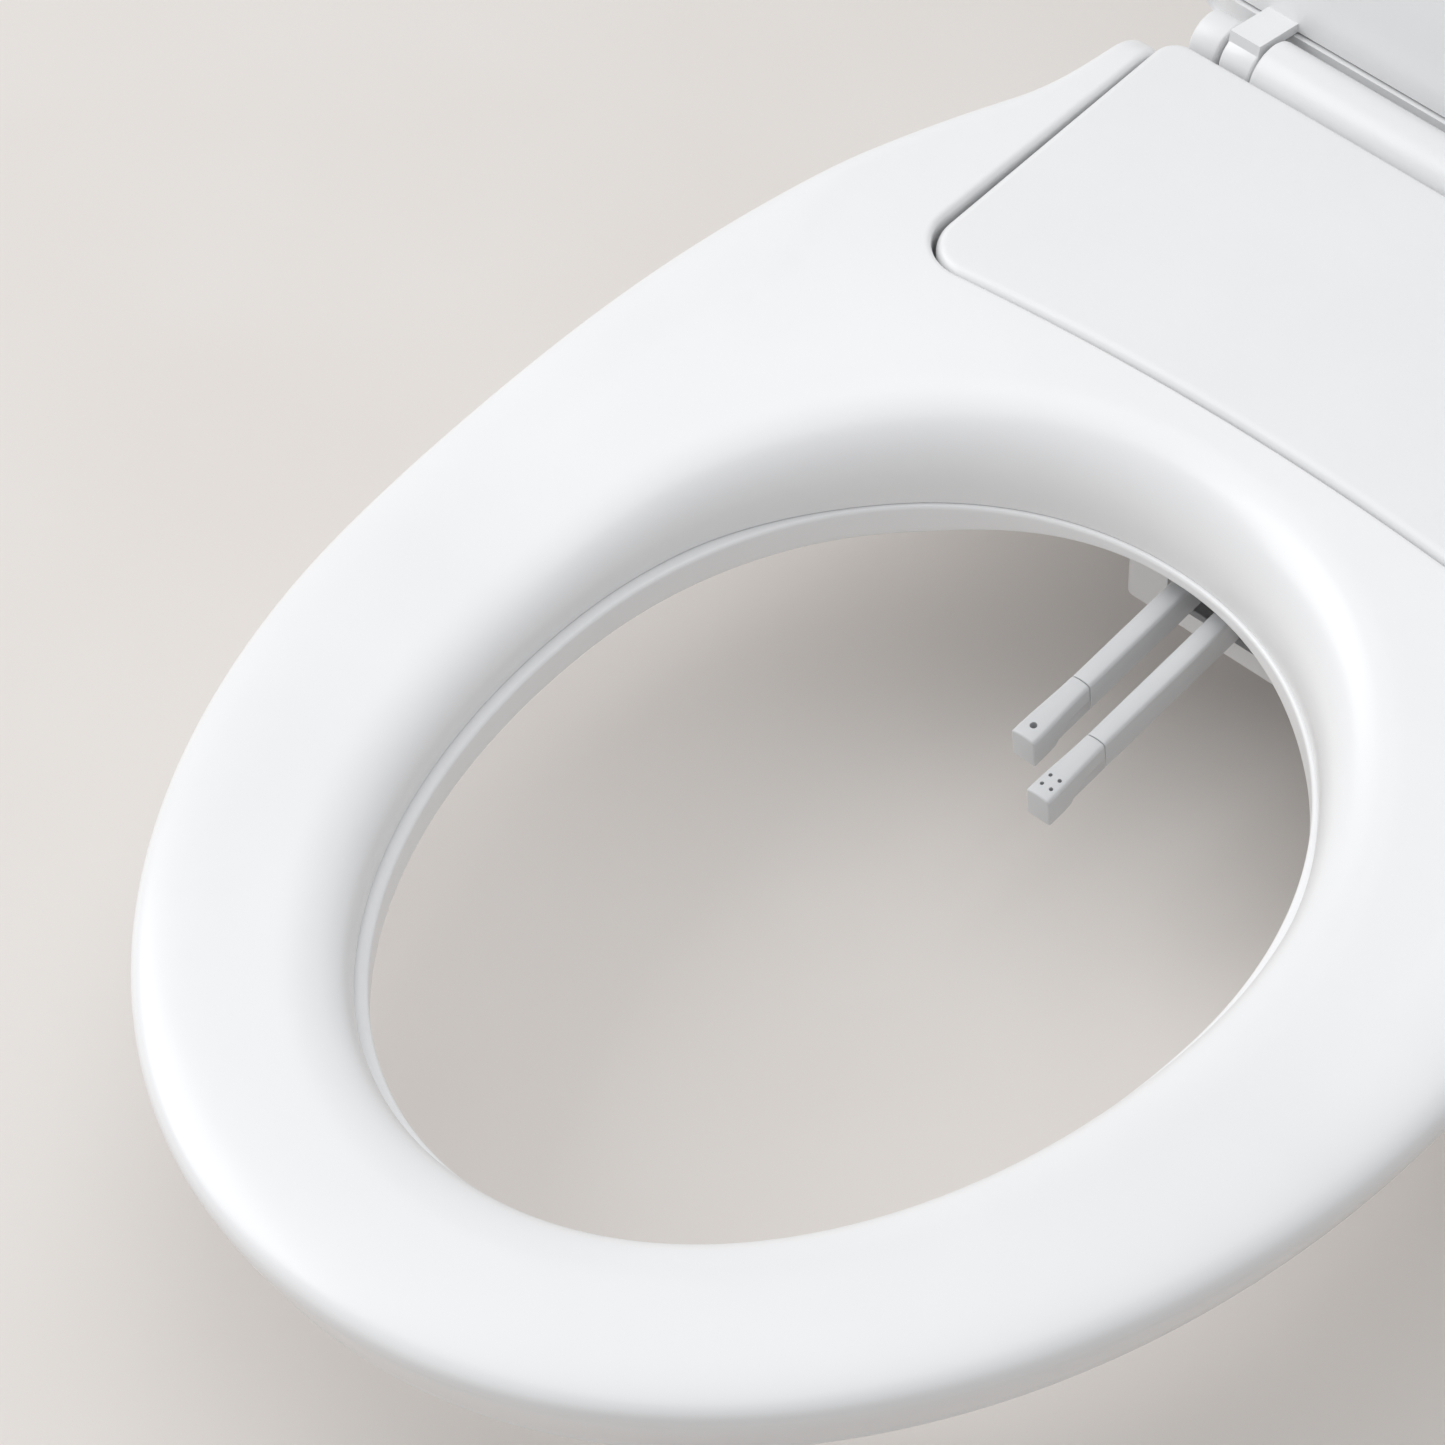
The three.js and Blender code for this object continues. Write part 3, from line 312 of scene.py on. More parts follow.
def turned(outline, centre, axis="z", sides=48):
    """A solid of revolution. `outline` lists (radius, height) from the lower axis point to the upper one."""
    body = Body()
    angles = np.arange(sides) / sides * 2 * math.pi
    place = {"x": along_x, "y": along_y, "z": along_z}[axis]
    loops = []
    for radius, height in outline:
        if radius > 0:
            ring = place(radius * np.cos(angles), radius * np.sin(angles), np.full(sides, height))
        else:
            ring = place(np.zeros(1), np.zeros(1), np.array([height]))
        loops.append(body.loop(ring + np.array(centre)))
    for low, high in zip(loops, loops[1:]):
        if len(low) == len(high):
            body.band(low, high)
        elif len(low) == 1:
            body.faces += [[low[0], high[(i + 1) % sides], high[i]] for i in range(sides)]
        else:
            body.faces += [[low[i], low[(i + 1) % sides], high[0]] for i in range(sides)]
    return body


def puck(radius, low, high, bevel):
    """The outline of a disc with rounded edges, for `turned`."""
    lower = [(radius - inset, low + up) for inset, up in bend(bevel)]
    upper = [(radius - inset, high - up) for inset, up in reversed(bend(bevel))]
    return [(0, low), *lower, *upper, (0, high)]


def mesh_object(name, body):
    mesh = bpy.data.meshes.new(name)
    mesh.from_pydata((body.points * MM).tolist(), [], body.faces)
    mesh.validate()
    piece = bpy.data.objects.new(name, mesh)
    bpy.context.scene.collection.objects.link(piece)
    return piece


def combined(name, base, others=(), cutters=()):
    """One object: `base` joined with the other bodies, then cut by the cutters."""
    piece = mesh_object(name, base)
    for operation, bodies in (("UNION", others), ("DIFFERENCE", cutters)):
        for body in bodies:
            tool = mesh_object(name + "_tool", body)
            step = piece.modifiers.new("step", "BOOLEAN")
            step.operation = operation
            step.solver = "EXACT"
            step.object = tool
            graph = bpy.context.evaluated_depsgraph_get()
            result = bpy.data.meshes.new_from_object(piece.evaluated_get(graph))
            piece.modifiers.clear()
            piece.data = result
            bpy.data.objects.remove(tool)
    return piece


def settle(piece, body, slot, nodes, sharp=32):
    """Gives a piece its finish, its body and the CAD nodes that it stands for."""
    piece.data.materials.clear()
    piece.data.materials.append(MATERIALS[slot])
    piece.data.polygons.foreach_set("use_smooth", [True] * len(piece.data.polygons))
    piece.data.set_sharp_from_angle(angle=math.radians(sharp))
    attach(piece, body)
    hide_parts(*nodes)
    return piece


# ---- curves ----

def smooth(t):
    """Eases from 0 to 1 as t goes from 0 to 1."""
    s = np.clip(t, 0, 1)
    return s * s * (3 - 2 * s)


def ramp(value, start, end):
    """Eases from 0 to 1 as a value goes from start to end."""
    return smooth((value - start) / (end - start))


def outward(loop):
    """Unit normals of an anticlockwise loop, halfway between those of the two edges at each point."""
    edge = np.roll(loop, -1, 0)[:, :2] - loop[:, :2]
    edge /= np.linalg.norm(edge, axis=1)[:, None]
    both = edge + np.roll(edge, 1, 0)
    both /= np.linalg.norm(both, axis=1)[:, None]
    return np.column_stack([both[:, 1], -both[:, 0]])


def mirrored(half):
    """A whole loop from its right half, which runs from the front centre to the rear centre."""
    half = np.array(half, float)
    other = half[1:-1][::-1].copy()
    other[:, 0] *= -1
    return np.vstack([half, other])


def arc(centre, radius, start, end, count):
    """Points of an arc between two angles in degrees, both ends included."""
    angles = np.radians(np.linspace(start, end, count))
    return np.column_stack([centre[0] + radius * np.cos(angles), centre[1] + radius * np.sin(angles)])


def rounded_rectangle(low, high, radius):
    """An anticlockwise rectangle between two corners, with rounded corners."""
    corners = [(high[0], low[1], -90), (high[0], high[1], 0), (low[0], high[1], 90), (low[0], low[1], 180)]
    points = []
    for x, y, start in corners:
        cx = x - radius if x == high[0] else x + radius
        cy = y - radius if y == high[1] else y + radius
        points.extend(arc((cx, cy), radius, start, start + 90, CORNER_POINTS))
    return np.array(points)


def roll(power, steps):
    """An edge's rounding as (share of its width, share of its depth), from the flat to the upright."""
    angles = np.linspace(math.pi / 2, 0, steps)
    return [(1 - math.cos(a) ** (2 / power), 1 - math.sin(a) ** (2 / power)) for a in angles]


def climb(y):
    """How far the seat has climbed from the front of the ring to the panel, from 0 to 1."""
    return ramp(y, -270, -80)


def outer_half_width(y):
    """Half the seat's width at a place from front to rear: an ellipse, then straighter along the arms."""
    y = np.asarray(y, float)
    reach = lambda at: SEAT_HALF_WIDTH * np.sqrt(1 - ((at - SEAT_WIDEST_Y) / SEAT_REAR_REACH) ** 2)
    slope = reach(ARM_FLARE_Y - 0.5) - reach(ARM_FLARE_Y + 0.5)
    flare = reach(ARM_FLARE_Y) - ARM_FLARE * (1 - np.exp(-slope * (y - ARM_FLARE_Y) / ARM_FLARE))
    return np.where(y <= ARM_FLARE_Y, reach(np.minimum(y, ARM_FLARE_Y)), flare)


def front_quarter(count):
    """The outline's right front quarter, from the front centre to the widest point."""
    angle = np.linspace(0, math.pi / 2, count, endpoint=False)
    power = 2 / SEAT_POWER
    depth = SEAT_WIDEST_Y - SEAT_FRONT_Y
    return np.column_stack([SEAT_HALF_WIDTH * np.sin(angle) ** power,
                            SEAT_WIDEST_Y - depth * np.cos(angle) ** power])


def side_points(from_y, to_y, count, inset=0.0):
    """Points along the outline's right side."""
    y = np.linspace(from_y, to_y, count)
    return np.column_stack([outer_half_width(y) - inset, y])


def panel_edge(gap):
    """The panel's front corner and front edge, from the side to the middle, moved out by a gap."""
    start_x = PANEL_HALF_WIDTH - PANEL_CORNER
    slope = math.atan(2 * PANEL_BOW * start_x / PANEL_HALF_WIDTH ** 2)
    edge_x = start_x - PANEL_CORNER * math.sin(slope)
    edge_y = lambda x: PANEL_FRONT_Y - PANEL_BOW * (x / PANEL_HALF_WIDTH) ** 2
    centre_y = edge_y(edge_x) + PANEL_CORNER * math.cos(slope)
    corner = arc((start_x, centre_y), PANEL_CORNER + gap, 0, -90 - math.degrees(slope), 14)
    x = np.linspace(edge_x, 0, 30)[1:]
    return np.vstack([corner, np.column_stack([x, edge_y(x) - gap])])


def seat_loop():
    """The seat's plan: the outline, the rounded ends of the arms and the gap round the panel."""
    inner_x = PANEL_HALF_WIDTH + PANEL_GAP
    outer = np.vstack([front_quarter(90), side_points(SEAT_WIDEST_Y, ARM_FLARE_Y, 50),
                       side_points(ARM_FLARE_Y, ARM_END_Y - 5, 12)[1:]])
    end_x = outer[-1, 0]
    radius = 0.46 * (end_x - inner_x)
    ends = np.vstack([arc((end_x - radius, ARM_END_Y - radius), radius, 7, 90, 7),
                      arc((inner_x + radius, ARM_END_Y - radius), radius, 90, 180, 7)])
    inner_side = np.column_stack([np.full(24, inner_x), np.linspace(ARM_END_Y - 6, -62, 24)])
    return mirrored(np.vstack([outer, ends, inner_side, panel_edge(PANEL_GAP)]))


def opening_loop(outset):
    """The opening's plan, moved outwards by one value or by one for each point."""
    angle = -math.pi / 2 + np.arange(OPENING_POINTS) / OPENING_POINTS * 2 * math.pi
    bulge = lambda value: np.sign(value) * np.abs(value) ** (2 / SEAT_POWER)
    reach = np.where(np.sin(angle) > 0, OPENING_REAR, OPENING_FRONT) + outset
    return np.column_stack([(OPENING_HALF_WIDTH + outset) * bulge(np.cos(angle)),
                            OPENING_Y + reach * bulge(np.sin(angle))])


def panel_loop():
    """The cover panel's plan."""
    corner = 8.0
    rear = arc((PANEL_HALF_WIDTH - corner, PANEL_REAR_Y - corner), corner, 0, 90, 9)
    side = np.column_stack([np.full(16, PANEL_HALF_WIDTH), np.linspace(-62, PANEL_REAR_Y - 13, 16)])
    back = np.column_stack([np.linspace(PANEL_HALF_WIDTH - 12, 0, 26), np.full(26, PANEL_REAR_Y)])
    return mirrored(np.vstack([panel_edge(0)[::-1], side, rear, back]))


def panel_height(x, y):
    """The panel's top surface, which climbs to the rear and falls to the sides."""
    back = (y - PANEL_FRONT_Y) / (PANEL_REAR_Y - PANEL_FRONT_Y)
    return PANEL_TOP + PANEL_CLIMB * back - PANEL_CROWN * (x / PANEL_HALF_WIDTH) ** 2


def case_rear():
    """The rear corner and the rear edge that the cover and the tray share."""
    rear_x = flank_x(HOUSING_REAR_Y - CASE_CORNER)
    corner = arc((rear_x - CASE_CORNER, HOUSING_REAR_Y - CASE_CORNER), CASE_CORNER, 0, 90, 9)
    back = np.column_stack([np.linspace(rear_x - 12, 0, 30), np.full(30, HOUSING_REAR_Y)])
    return np.vstack([corner, back])


def flank_x(y):
    """The half width of the housing, which lies a small step inside the seat's outline."""
    return float(outer_half_width(y)) - CASE_STEP


def housing_loop():
    """The tray's plan. Its front corner runs smoothly into the flank."""
    radius = 6.0
    narrowing = float(outer_half_width(TRAY_FRONT_Y) - outer_half_width(TRAY_FRONT_Y + 2 * radius))
    slope = math.atan(narrowing / (2 * radius))
    meet_y = TRAY_FRONT_Y + radius * (1 + math.sin(slope))
    centre_x = flank_x(meet_y) - radius * math.cos(slope)
    front = np.column_stack([np.linspace(0, centre_x - 2, 30), np.full(30, TRAY_FRONT_Y)])
    corner = arc((centre_x, TRAY_FRONT_Y + radius), radius, -90, math.degrees(slope), 9)
    flank = side_points(meet_y + 2, HOUSING_REAR_Y - 10, 40, CASE_STEP)
    return mirrored(np.vstack([front, corner, flank, case_rear()]))


def shelf_loop():
    """The cover's part behind the arms, which reaches forward under the panel between them."""
    root_x, root_y, front_y, radius = 117.0, 22.0, 31.5, 4.0
    front_x = flank_x(front_y)
    root = [[0, root_y], [root_x / 2, root_y], [root_x, root_y], [root_x, root_y + 5], [root_x, front_y]]
    front = np.column_stack([np.linspace(root_x + 4, front_x - 6, 4), np.full(4, front_y)])
    corner = arc((front_x - radius, front_y + radius), radius, -90, 0, 6)
    flank = side_points(front_y + 6, HOUSING_REAR_Y - 10, 8, CASE_STEP)
    return mirrored(np.vstack([root, front, corner, flank, case_rear()]))


def lid_loop():
    """The lid's plan when it lies on the seat, whose outline it follows."""
    rear_y, radius = LID_AXIS_Y + 2, 10
    rear_x = float(outer_half_width(rear_y - radius))
    side = side_points(SEAT_WIDEST_Y, rear_y - radius - 4, 60)
    corner = arc((rear_x - radius, rear_y - radius), radius, 0, 90, 10)
    back = np.column_stack([np.linspace(rear_x - radius - 4, 0, 30), np.full(30, rear_y)])
    return mirrored(np.vstack([front_quarter(90), side, corner, back]))


# ---- materials ----

def material(name):
    """A new Principled material and the names that its nodes are made with."""
    made = bpy.data.materials.new(name)
    made.use_nodes = True
    nodes, links = made.node_tree.nodes, made.node_tree.links
    shader = nodes["Principled BSDF"]
    place = nodes.new("ShaderNodeTexCoord").outputs["Object"]
    return made, nodes, links, shader, place


def noise(nodes, links, place, scale, detail=3.0, stretch=(1, 1, 1)):
    """A noise value between 0 and 1. `scale` is in features per metre."""
    mapping = nodes.new("ShaderNodeMapping")
    mapping.inputs["Scale"].default_value = stretch
    links.new(place, mapping.inputs["Vector"])
    texture = nodes.new("ShaderNodeTexNoise")
    texture.inputs["Scale"].default_value = scale
    texture.inputs["Detail"].default_value = detail
    links.new(mapping.outputs["Vector"], texture.inputs["Vector"])
    return texture.outputs["Fac"]


def spread(nodes, links, value, low, high):
    """Maps a noise value onto a range."""
    ranged = nodes.new("ShaderNodeMapRange")
    ranged.inputs["From Min"].default_value = 0.3
    ranged.inputs["From Max"].default_value = 0.7
    ranged.inputs["To Min"].default_value = low
    ranged.inputs["To Max"].default_value = high
    links.new(value, ranged.inputs["Value"])
    return ranged.outputs["Result"]


def tint(nodes, links, value, first, second):
    """A colour between two, by a noise value."""
    mix = nodes.new("ShaderNodeMix")
    mix.data_type = "RGBA"
    mix.inputs["A"].default_value = (*first, 1)
    mix.inputs["B"].default_value = (*second, 1)
    links.new(value, mix.inputs["Factor"])
    return mix.outputs["Result"]


def bump(nodes, links, shader, value, depth):
    """Relief of a given depth, in metres."""
    node = nodes.new("ShaderNodeBump")
    node.inputs["Strength"].default_value = 1.0
    node.inputs["Distance"].default_value = depth
    links.new(value, node.inputs["Height"])
    links.new(node.outputs["Normal"], shader.inputs["Normal"])


def moulded(name, colour, roughness, grain, depth, coat=0.0, drift=0.012):
    """Moulded plastic: a colour that drifts a little, uneven polish and a fine grain in relief."""
    play = 0.03
    made, nodes, links, shader, place = material(name)
    shade = tint(nodes, links, spread(nodes, links, noise(nodes, links, place, 14), 0, 1),
                 [c * (1 - drift) for c in colour], [min(1, c * (1 + drift)) for c in colour])
    links.new(shade, shader.inputs["Base Color"])
    polish = spread(nodes, links, noise(nodes, links, place, 90, 4), roughness - play, roughness + play)
    links.new(polish, shader.inputs["Roughness"])
    bump(nodes, links, shader, noise(nodes, links, place, grain, 2), depth)
    shader.inputs["Coat Weight"].default_value = coat
    shader.inputs["Coat Roughness"].default_value = 0.22
    return made


def metal(name, colour, roughness, stretch, depth):
    """Brushed or turned metal: fine lines in relief and in the polish."""
    made, nodes, links, shader, place = material(name)
    lines = noise(nodes, links, place, 260, 6, stretch)
    shade = tint(nodes, links, spread(nodes, links, lines, 0, 1), [c * 0.86 for c in colour], colour)
    links.new(shade, shader.inputs["Base Color"])
    links.new(spread(nodes, links, lines, roughness - 0.08, roughness + 0.1), shader.inputs["Roughness"])
    bump(nodes, links, shader, lines, depth)
    shader.inputs["Metallic"].default_value = 1
    return made


def circuit_board(name):
    """Green solder mask with copper tracks under it and pale pads."""
    made, nodes, links, shader, place = material(name)
    tracks = nodes.new("ShaderNodeTexBrick")
    tracks.inputs["Scale"].default_value = 90
    tracks.inputs["Mortar Size"].default_value = 0.06
    tracks.inputs["Color1"].default_value = (0.012, 0.12, 0.05, 1)
    tracks.inputs["Color2"].default_value = (0.014, 0.145, 0.06, 1)
    tracks.inputs["Mortar"].default_value = (0.05, 0.28, 0.12, 1)
    links.new(place, tracks.inputs["Vector"])
    links.new(tracks.outputs["Color"], shader.inputs["Base Color"])
    polish = spread(nodes, links, noise(nodes, links, place, 400), 0.32, 0.48)
    links.new(polish, shader.inputs["Roughness"])
    bump(nodes, links, shader, tracks.outputs["Fac"], 0.00003)
    return made


def heater_foil(name):
    """Aluminium foil with a printed heating track that winds through it."""
    made, nodes, links, shader, place = material(name)
    wave = nodes.new("ShaderNodeTexWave")
    wave.inputs["Scale"].default_value = 60
    wave.inputs["Distortion"].default_value = 3
    links.new(place, wave.inputs["Vector"])
    shade = tint(nodes, links, wave.outputs["Fac"], (0.35, 0.2, 0.09), (0.62, 0.6, 0.56))
    links.new(shade, shader.inputs["Base Color"])
    links.new(spread(nodes, links, noise(nodes, links, place, 300), 0.3, 0.5), shader.inputs["Roughness"])
    bump(nodes, links, shader, wave.outputs["Fac"], 0.00005)
    shader.inputs["Metallic"].default_value = 0.8
    return made


MATERIALS = {
    "gloss_white": moulded("gloss_white", (0.87, 0.875, 0.88), 0.33, 700, 0.00001, coat=0.35),
    "satin_white": moulded("satin_white", (0.83, 0.835, 0.84), 0.36, 1500, 0.00002, coat=0.1),
    "nozzle_grey": moulded("nozzle_grey", (0.62, 0.63, 0.64), 0.36, 1800, 0.00002),
    "inner_grey": moulded("inner_grey", (0.3, 0.32, 0.34), 0.5, 1500, 0.00004, drift=0.04),
    "black_plastic": moulded("black_plastic", (0.022, 0.024, 0.026), 0.42, 1300, 0.00005, drift=0.1),
    "rubber": moulded("rubber", (0.42, 0.43, 0.44), 0.72, 2200, 0.00006, drift=0.05),
    "brass": metal("brass", (0.72, 0.52, 0.2), 0.28, (1, 14, 1), 0.00002),
    "steel": metal("steel", (0.66, 0.67, 0.68), 0.28, (1, 1, 14), 0.00001),
    "circuit_board": circuit_board("circuit_board"),
    "heater_foil": heater_foil("heater_foil"),
    "smoked_lens": moulded("smoked_lens", (0.02, 0.02, 0.026), 0.12, 600, 0.000005, coat=0.6),
    "button_grey": moulded("button_grey", (0.45, 0.46, 0.47), 0.4, 1800, 0.00002),
}


# ---- seat ----

def skirt_lift(y):
    """How far the lower shell's underside has lifted to clear the housing, from 0 to 1."""
    return ramp(y, -150, -100)


def seat_top(x, y):
    """The seat's top surface, the same across its width."""
    return SEAT_TOP + SEAT_RISE * climb(y)


def foot_height(y):
    """The height of the lower shell's outer foot."""
    return SEAT_FOOT + SKIRT_LIFT * skirt_lift(y)


def edge_weight(loop):
    """The share of an edge's full rounding: less on the arms, and least where the seat wraps the panel."""
    x, y = loop.T
    weight = 1 - 0.72 * ramp(y, -130, -70) - 0.17 * ramp(y, -30, 20)
    by_panel = (np.abs(x) < PANEL_HALF_WIDTH + PANEL_GAP + 6) & (y > -110) & (y < 20)
    return np.where(by_panel, 0.08, weight)


def arms_rounded(body):
    """Rounds the ends of the seat's arms about the hinge axis."""
    past = np.clip(body.points[:, 1] - SEAT_AXIS_Y, 0, None) / ARM_END_REACH
    body.points[:, 2] = SEAT_AXIS_Z + (body.points[:, 2] - SEAT_AXIS_Z) * np.sqrt(1 - past ** 2)
    return body


def seat_upper():
    """The upper shell: a broad rolled edge down to the crease outside, a rounded lip inside, hollow below."""
    edge_width, full_depth, roll_width = 30.0, 8.0, 22.0
    rim = seat_loop()
    width = edge_width * edge_weight(rim)
    depth = full_depth * np.clip(edge_weight(rim) * edge_width / full_depth, 0, 1)
    crown = seat_top(*rim.T)
    foot = crown - depth
    inner_inset = np.minimum(SEAT_SKIN, width * 0.4)
    rows = [inset_row(rim, width * w, crown - depth * d) for w, d in roll(2.5, 16)]
    rows += [inset_row(rim, 0, foot + (SEAT_CREASE + 0.5 - foot) * share) for share in (0.35, 0.7)]
    rows += [inset_row(rim, inset, SEAT_CREASE + up) for inset, up in ((0, 0.3), (0.09, 0.09), (0.3, 0))]
    rows += [inset_row(rim, inner_inset, SEAT_CREASE),
             inset_row(rim, inner_inset, SEAT_TOP - 3 * SEAT_SKIN + SEAT_RISE * climb(rim[:, 1]) * 0.8),
             inset_row(rim, width * 0.4 + 1.5, crown - SEAT_SKIN)]

    lip_z, lip_round = LIP_TOP + SEAT_SEAM, 3.0
    lip = LIP - (LIP - REAR_LIP) * ramp(opening_loop(LIP)[:, 1], -210, -150)

    def slope_row(share_out, share_down):
        xy = opening_loop(lip + roll_width * share_out)
        low = lip_z + lip_round
        return at_height(xy, low + (seat_top(*xy.T) - low) * (1 - share_down))

    holes = [slope_row(w, d) for w, d in roll(2.2, 18)]
    holes += [at_height(opening_loop(lip), lip_z + lip_round - drop) for drop in (1.5, 2.75)]
    holes += [at_height(opening_loop(lip + outset), lip_z) for outset in (0.25, SEAT_SKIN)]
    under = opening_loop(LIP + 20)
    holes.append(at_height(under, seat_top(*under.T) - SEAT_SKIN))
    return arms_rounded(plan_body(rows, holes, seat_top, lambda x, y: seat_top(x, y) - SEAT_SKIN))


def seat_lower():
    """The lower shell: a side that leans in below the crease, a rounded foot and the opening's lip."""
    rim = seat_loop()
    weight = edge_weight(rim)
    crease = SEAT_CREASE - SEAT_SEAM
    bottom = foot_height(rim[:, 1])
    full = (crease - bottom) / (crease - SEAT_FOOT)
    edge = np.minimum(4.5, (crease - bottom) * 0.3)
    seam_step, lean, lean_power = 0.25, 10.5, 1.2

    def draft(z):
        """How far the side leans in at a height."""
        return seam_step + lean * ((crease - z) / (crease - SEAT_FOOT)) ** lean_power

    rows = [inset_row(rim, 2 + 14 * weight, np.minimum(bottom + SEAT_SKIN * full, crease - 1)),
            inset_row(rim, 1.5 + 2 * weight, crease - 0.1), inset_row(rim, 0.6, crease),
            inset_row(rim, 0.33, crease - 0.1)]
    for share in np.linspace(0.02, 1, 9):
        z = crease - (crease - bottom - edge) * share
        rows.append(inset_row(rim, draft(z), z))
    for w, d in roll(2.0, 7)[::-1][1:]:
        rows.append(inset_row(rim, draft(bottom + edge) + edge * (0.4 + 0.6 * weight) * w, bottom + edge * d))

    top_round, foot_round = 1.2, 1.5
    lip_low = lambda y: 7 + 9.8 * skirt_lift(y)
    low = lip_low(opening_loop(0)[:, 1])

    def wall(share):
        return LIP_TOP - top_round + (low + foot_round - LIP_TOP + top_round) * share

    def foot_row(share_out, share_up):
        xy = opening_loop(foot_round * share_out)
        return at_height(xy, lip_low(xy[:, 1]) + foot_round * share_up)

    back = opening_loop(7)
    holes = [at_height(back, np.minimum(lip_low(back[:, 1]) + 4, LIP_TOP - 1)),
             at_height(opening_loop(5.5), LIP_TOP - 0.02), at_height(opening_loop(3.0), LIP_TOP)]
    holes += [at_height(opening_loop(top_round * w), LIP_TOP - top_round * d) for w, d in roll(2, 6)]
    holes += [at_height(opening_loop(0), wall(share)) for share in (0.3, 0.6, 0.9)]
    holes += [foot_row(w, d) for w, d in roll(2, 6)[::-1]]

    def under(x, y):
        """The underside, which runs from the outer foot to the lower edge of the lip."""
        points = np.column_stack([x, y])
        to_rim, to_hole = distance(points, rim), distance(points, opening_loop(0))
        share = to_rim / (to_rim + to_hole)
        return foot_height(y) * (1 - share) + lip_low(y) * share

    return arms_rounded(plan_body(rows, holes, lambda x, y: np.minimum(under(x, y) + 3.2, 24), under, 5))


def build_seat():
    settle(mesh_object("seat_ring_top", seat_upper()), "seat", "gloss_white", ["seat_upper_shell"])
    settle(mesh_object("seat_ring_base", seat_lower()), "seat", "gloss_white", ["seat_lower_shell"])


# ---- lid ----

def lid_underside(y):
    """The height of the lid's edge when it lies on the seat."""
    return 39.5 + 17 * climb(y)


def lid_surface(rise):
    """A surface at a distance above the lid's edge, for `plan_body`."""
    return lambda x, y: lid_underside(y) + rise


def lid_row(scale, rise):
    """The lid's plan at a share of its size, at a distance above its edge."""
    loop = lid_loop()
    y = LID_MIDDLE_Y + (loop[:, 1] - LID_MIDDLE_Y) * scale * LID_FIT
    return np.column_stack([loop[:, 0] * scale, y, lid_underside(y) + rise])


def lid_shell():
    """The lid's domed outside, with a rounded lower edge and a hollow underside."""
    side_top, hollow = 6, LID_DOME - LID_SKIN
    rows = [lid_row(1 - 0.42 * w, LID_DOME - (LID_DOME - side_top) * d) for w, d in roll(2.6, 22)]
    rows += [lid_row(1, rise) for rise in (4, 2.2)]
    rows += [lid_row(1 - 0.006 * w, 2 - 2 * d) for w, d in roll(2, 6)[::-1]]
    rows += [lid_row(0.968, 0.0), lid_row(0.967, 5.5), lid_row(0.9, 9.5), lid_row(0.6, hollow)]
    shell = plan_body(rows, None, lid_surface(LID_DOME), lid_surface(hollow), 6)
    return shell.turned_about_lid_axis(LID_OPEN)


def lid_liner():
    """The lid's inner face: a rounded edge, a flat border and a field that lies a little deeper."""
    inner, field = 3.6, 1.6
    steps = [(0.955, inner), (0.962, 3.4), (0.965, 2.8), (0.965, 1.8), (0.963, 1.2), (0.958, 1.0),
             (0.93, 1.0), (0.92, 1.3), (0.9, field)]
    rows = [lid_row(scale, rise) for scale, rise in steps]
    liner = plan_body(rows, None, lid_surface(inner), lid_surface(field), 6)
    return liner.turned_about_lid_axis(LID_OPEN)


def lid_ear(side):
    """The boss round a hinge pin and the bracket that carries it on the liner."""
    low, high = sorted((side * EAR_INNER_X, side * EAR_OUTER_X))
    boss = extruded(arc((LID_AXIS_Y, LID_AXIS_Z), 9, 0, 352.5, 48), low, high, along_x, 0.8)
    profile = [(31, 38.5), (46, 38.5), (46, 52), (34.5, 52), (34.5, 59.2), (31, 59.2)]
    return boss, extruded(profile, low, high, along_x)


def build_lid():
    settle(mesh_object("lid_dome", lid_shell()), "lid", "gloss_white", ["lid_shell"])
    ears = [body.turned_about_lid_axis(LID_OPEN) for side in SIDES.values() for body in lid_ear(side)]
    settle(combined("lid_inner", lid_liner(), ears), "lid", "gloss_white", ["lid_liner"])
    pad_x, pad_y = 146, -250
    for name, side in SIDES.items():
        base = lid_underside(pad_y) + 1.0
        pad = turned(puck(6, base - 3.6, base, 1.2), (side * pad_x, pad_y, 0))
        node = f"lid_bumper_{name}"
        settle(mesh_object(node + "_pad", pad.turned_about_lid_axis(LID_OPEN)), "lid", "rubber", [node])


# ---- housing ----

def split_edge(loop):
    """The cover's lower edge, eased where it meets the tray."""
    return [inset_row(loop, inset, SPLIT_Z + up) for inset, up in ((0, 0.5), (0.15, 0.15), (0.5, 0))]


def panel_body():
    """The panel between the seat's arms, with its walls down to the tray and hollow below."""
    edge = 3.4
    rim = panel_loop()

    def row(inset, drop):
        xy = rim - outward(rim) * inset
        return at_height(xy, panel_height(*xy.T) - drop)

    rows = [row(edge * w, edge * d) for w, d in roll(2.1, 12)]
    rows += [row(0, drop) for drop in (9, 17)] + split_edge(rim)
    rows += [inset_row(rim, CASE_WALL, SPLIT_Z), row(CASE_WALL, 9), row(6, CASE_WALL)]
    return plan_body(rows, None, panel_height, lambda x, y: panel_height(x, y) - CASE_WALL, 5)


def shelf_body():
    edge = 2.5
    rim = shelf_loop()
    rows = [inset_row(rim, edge * w, SHELF_Z - edge * d) for w, d in roll(2, 7)]
    rows += [inset_row(rim, 0, 24)] + split_edge(rim)
    return plan_body(rows, None, level(SHELF_Z), level(SPLIT_Z), 9)


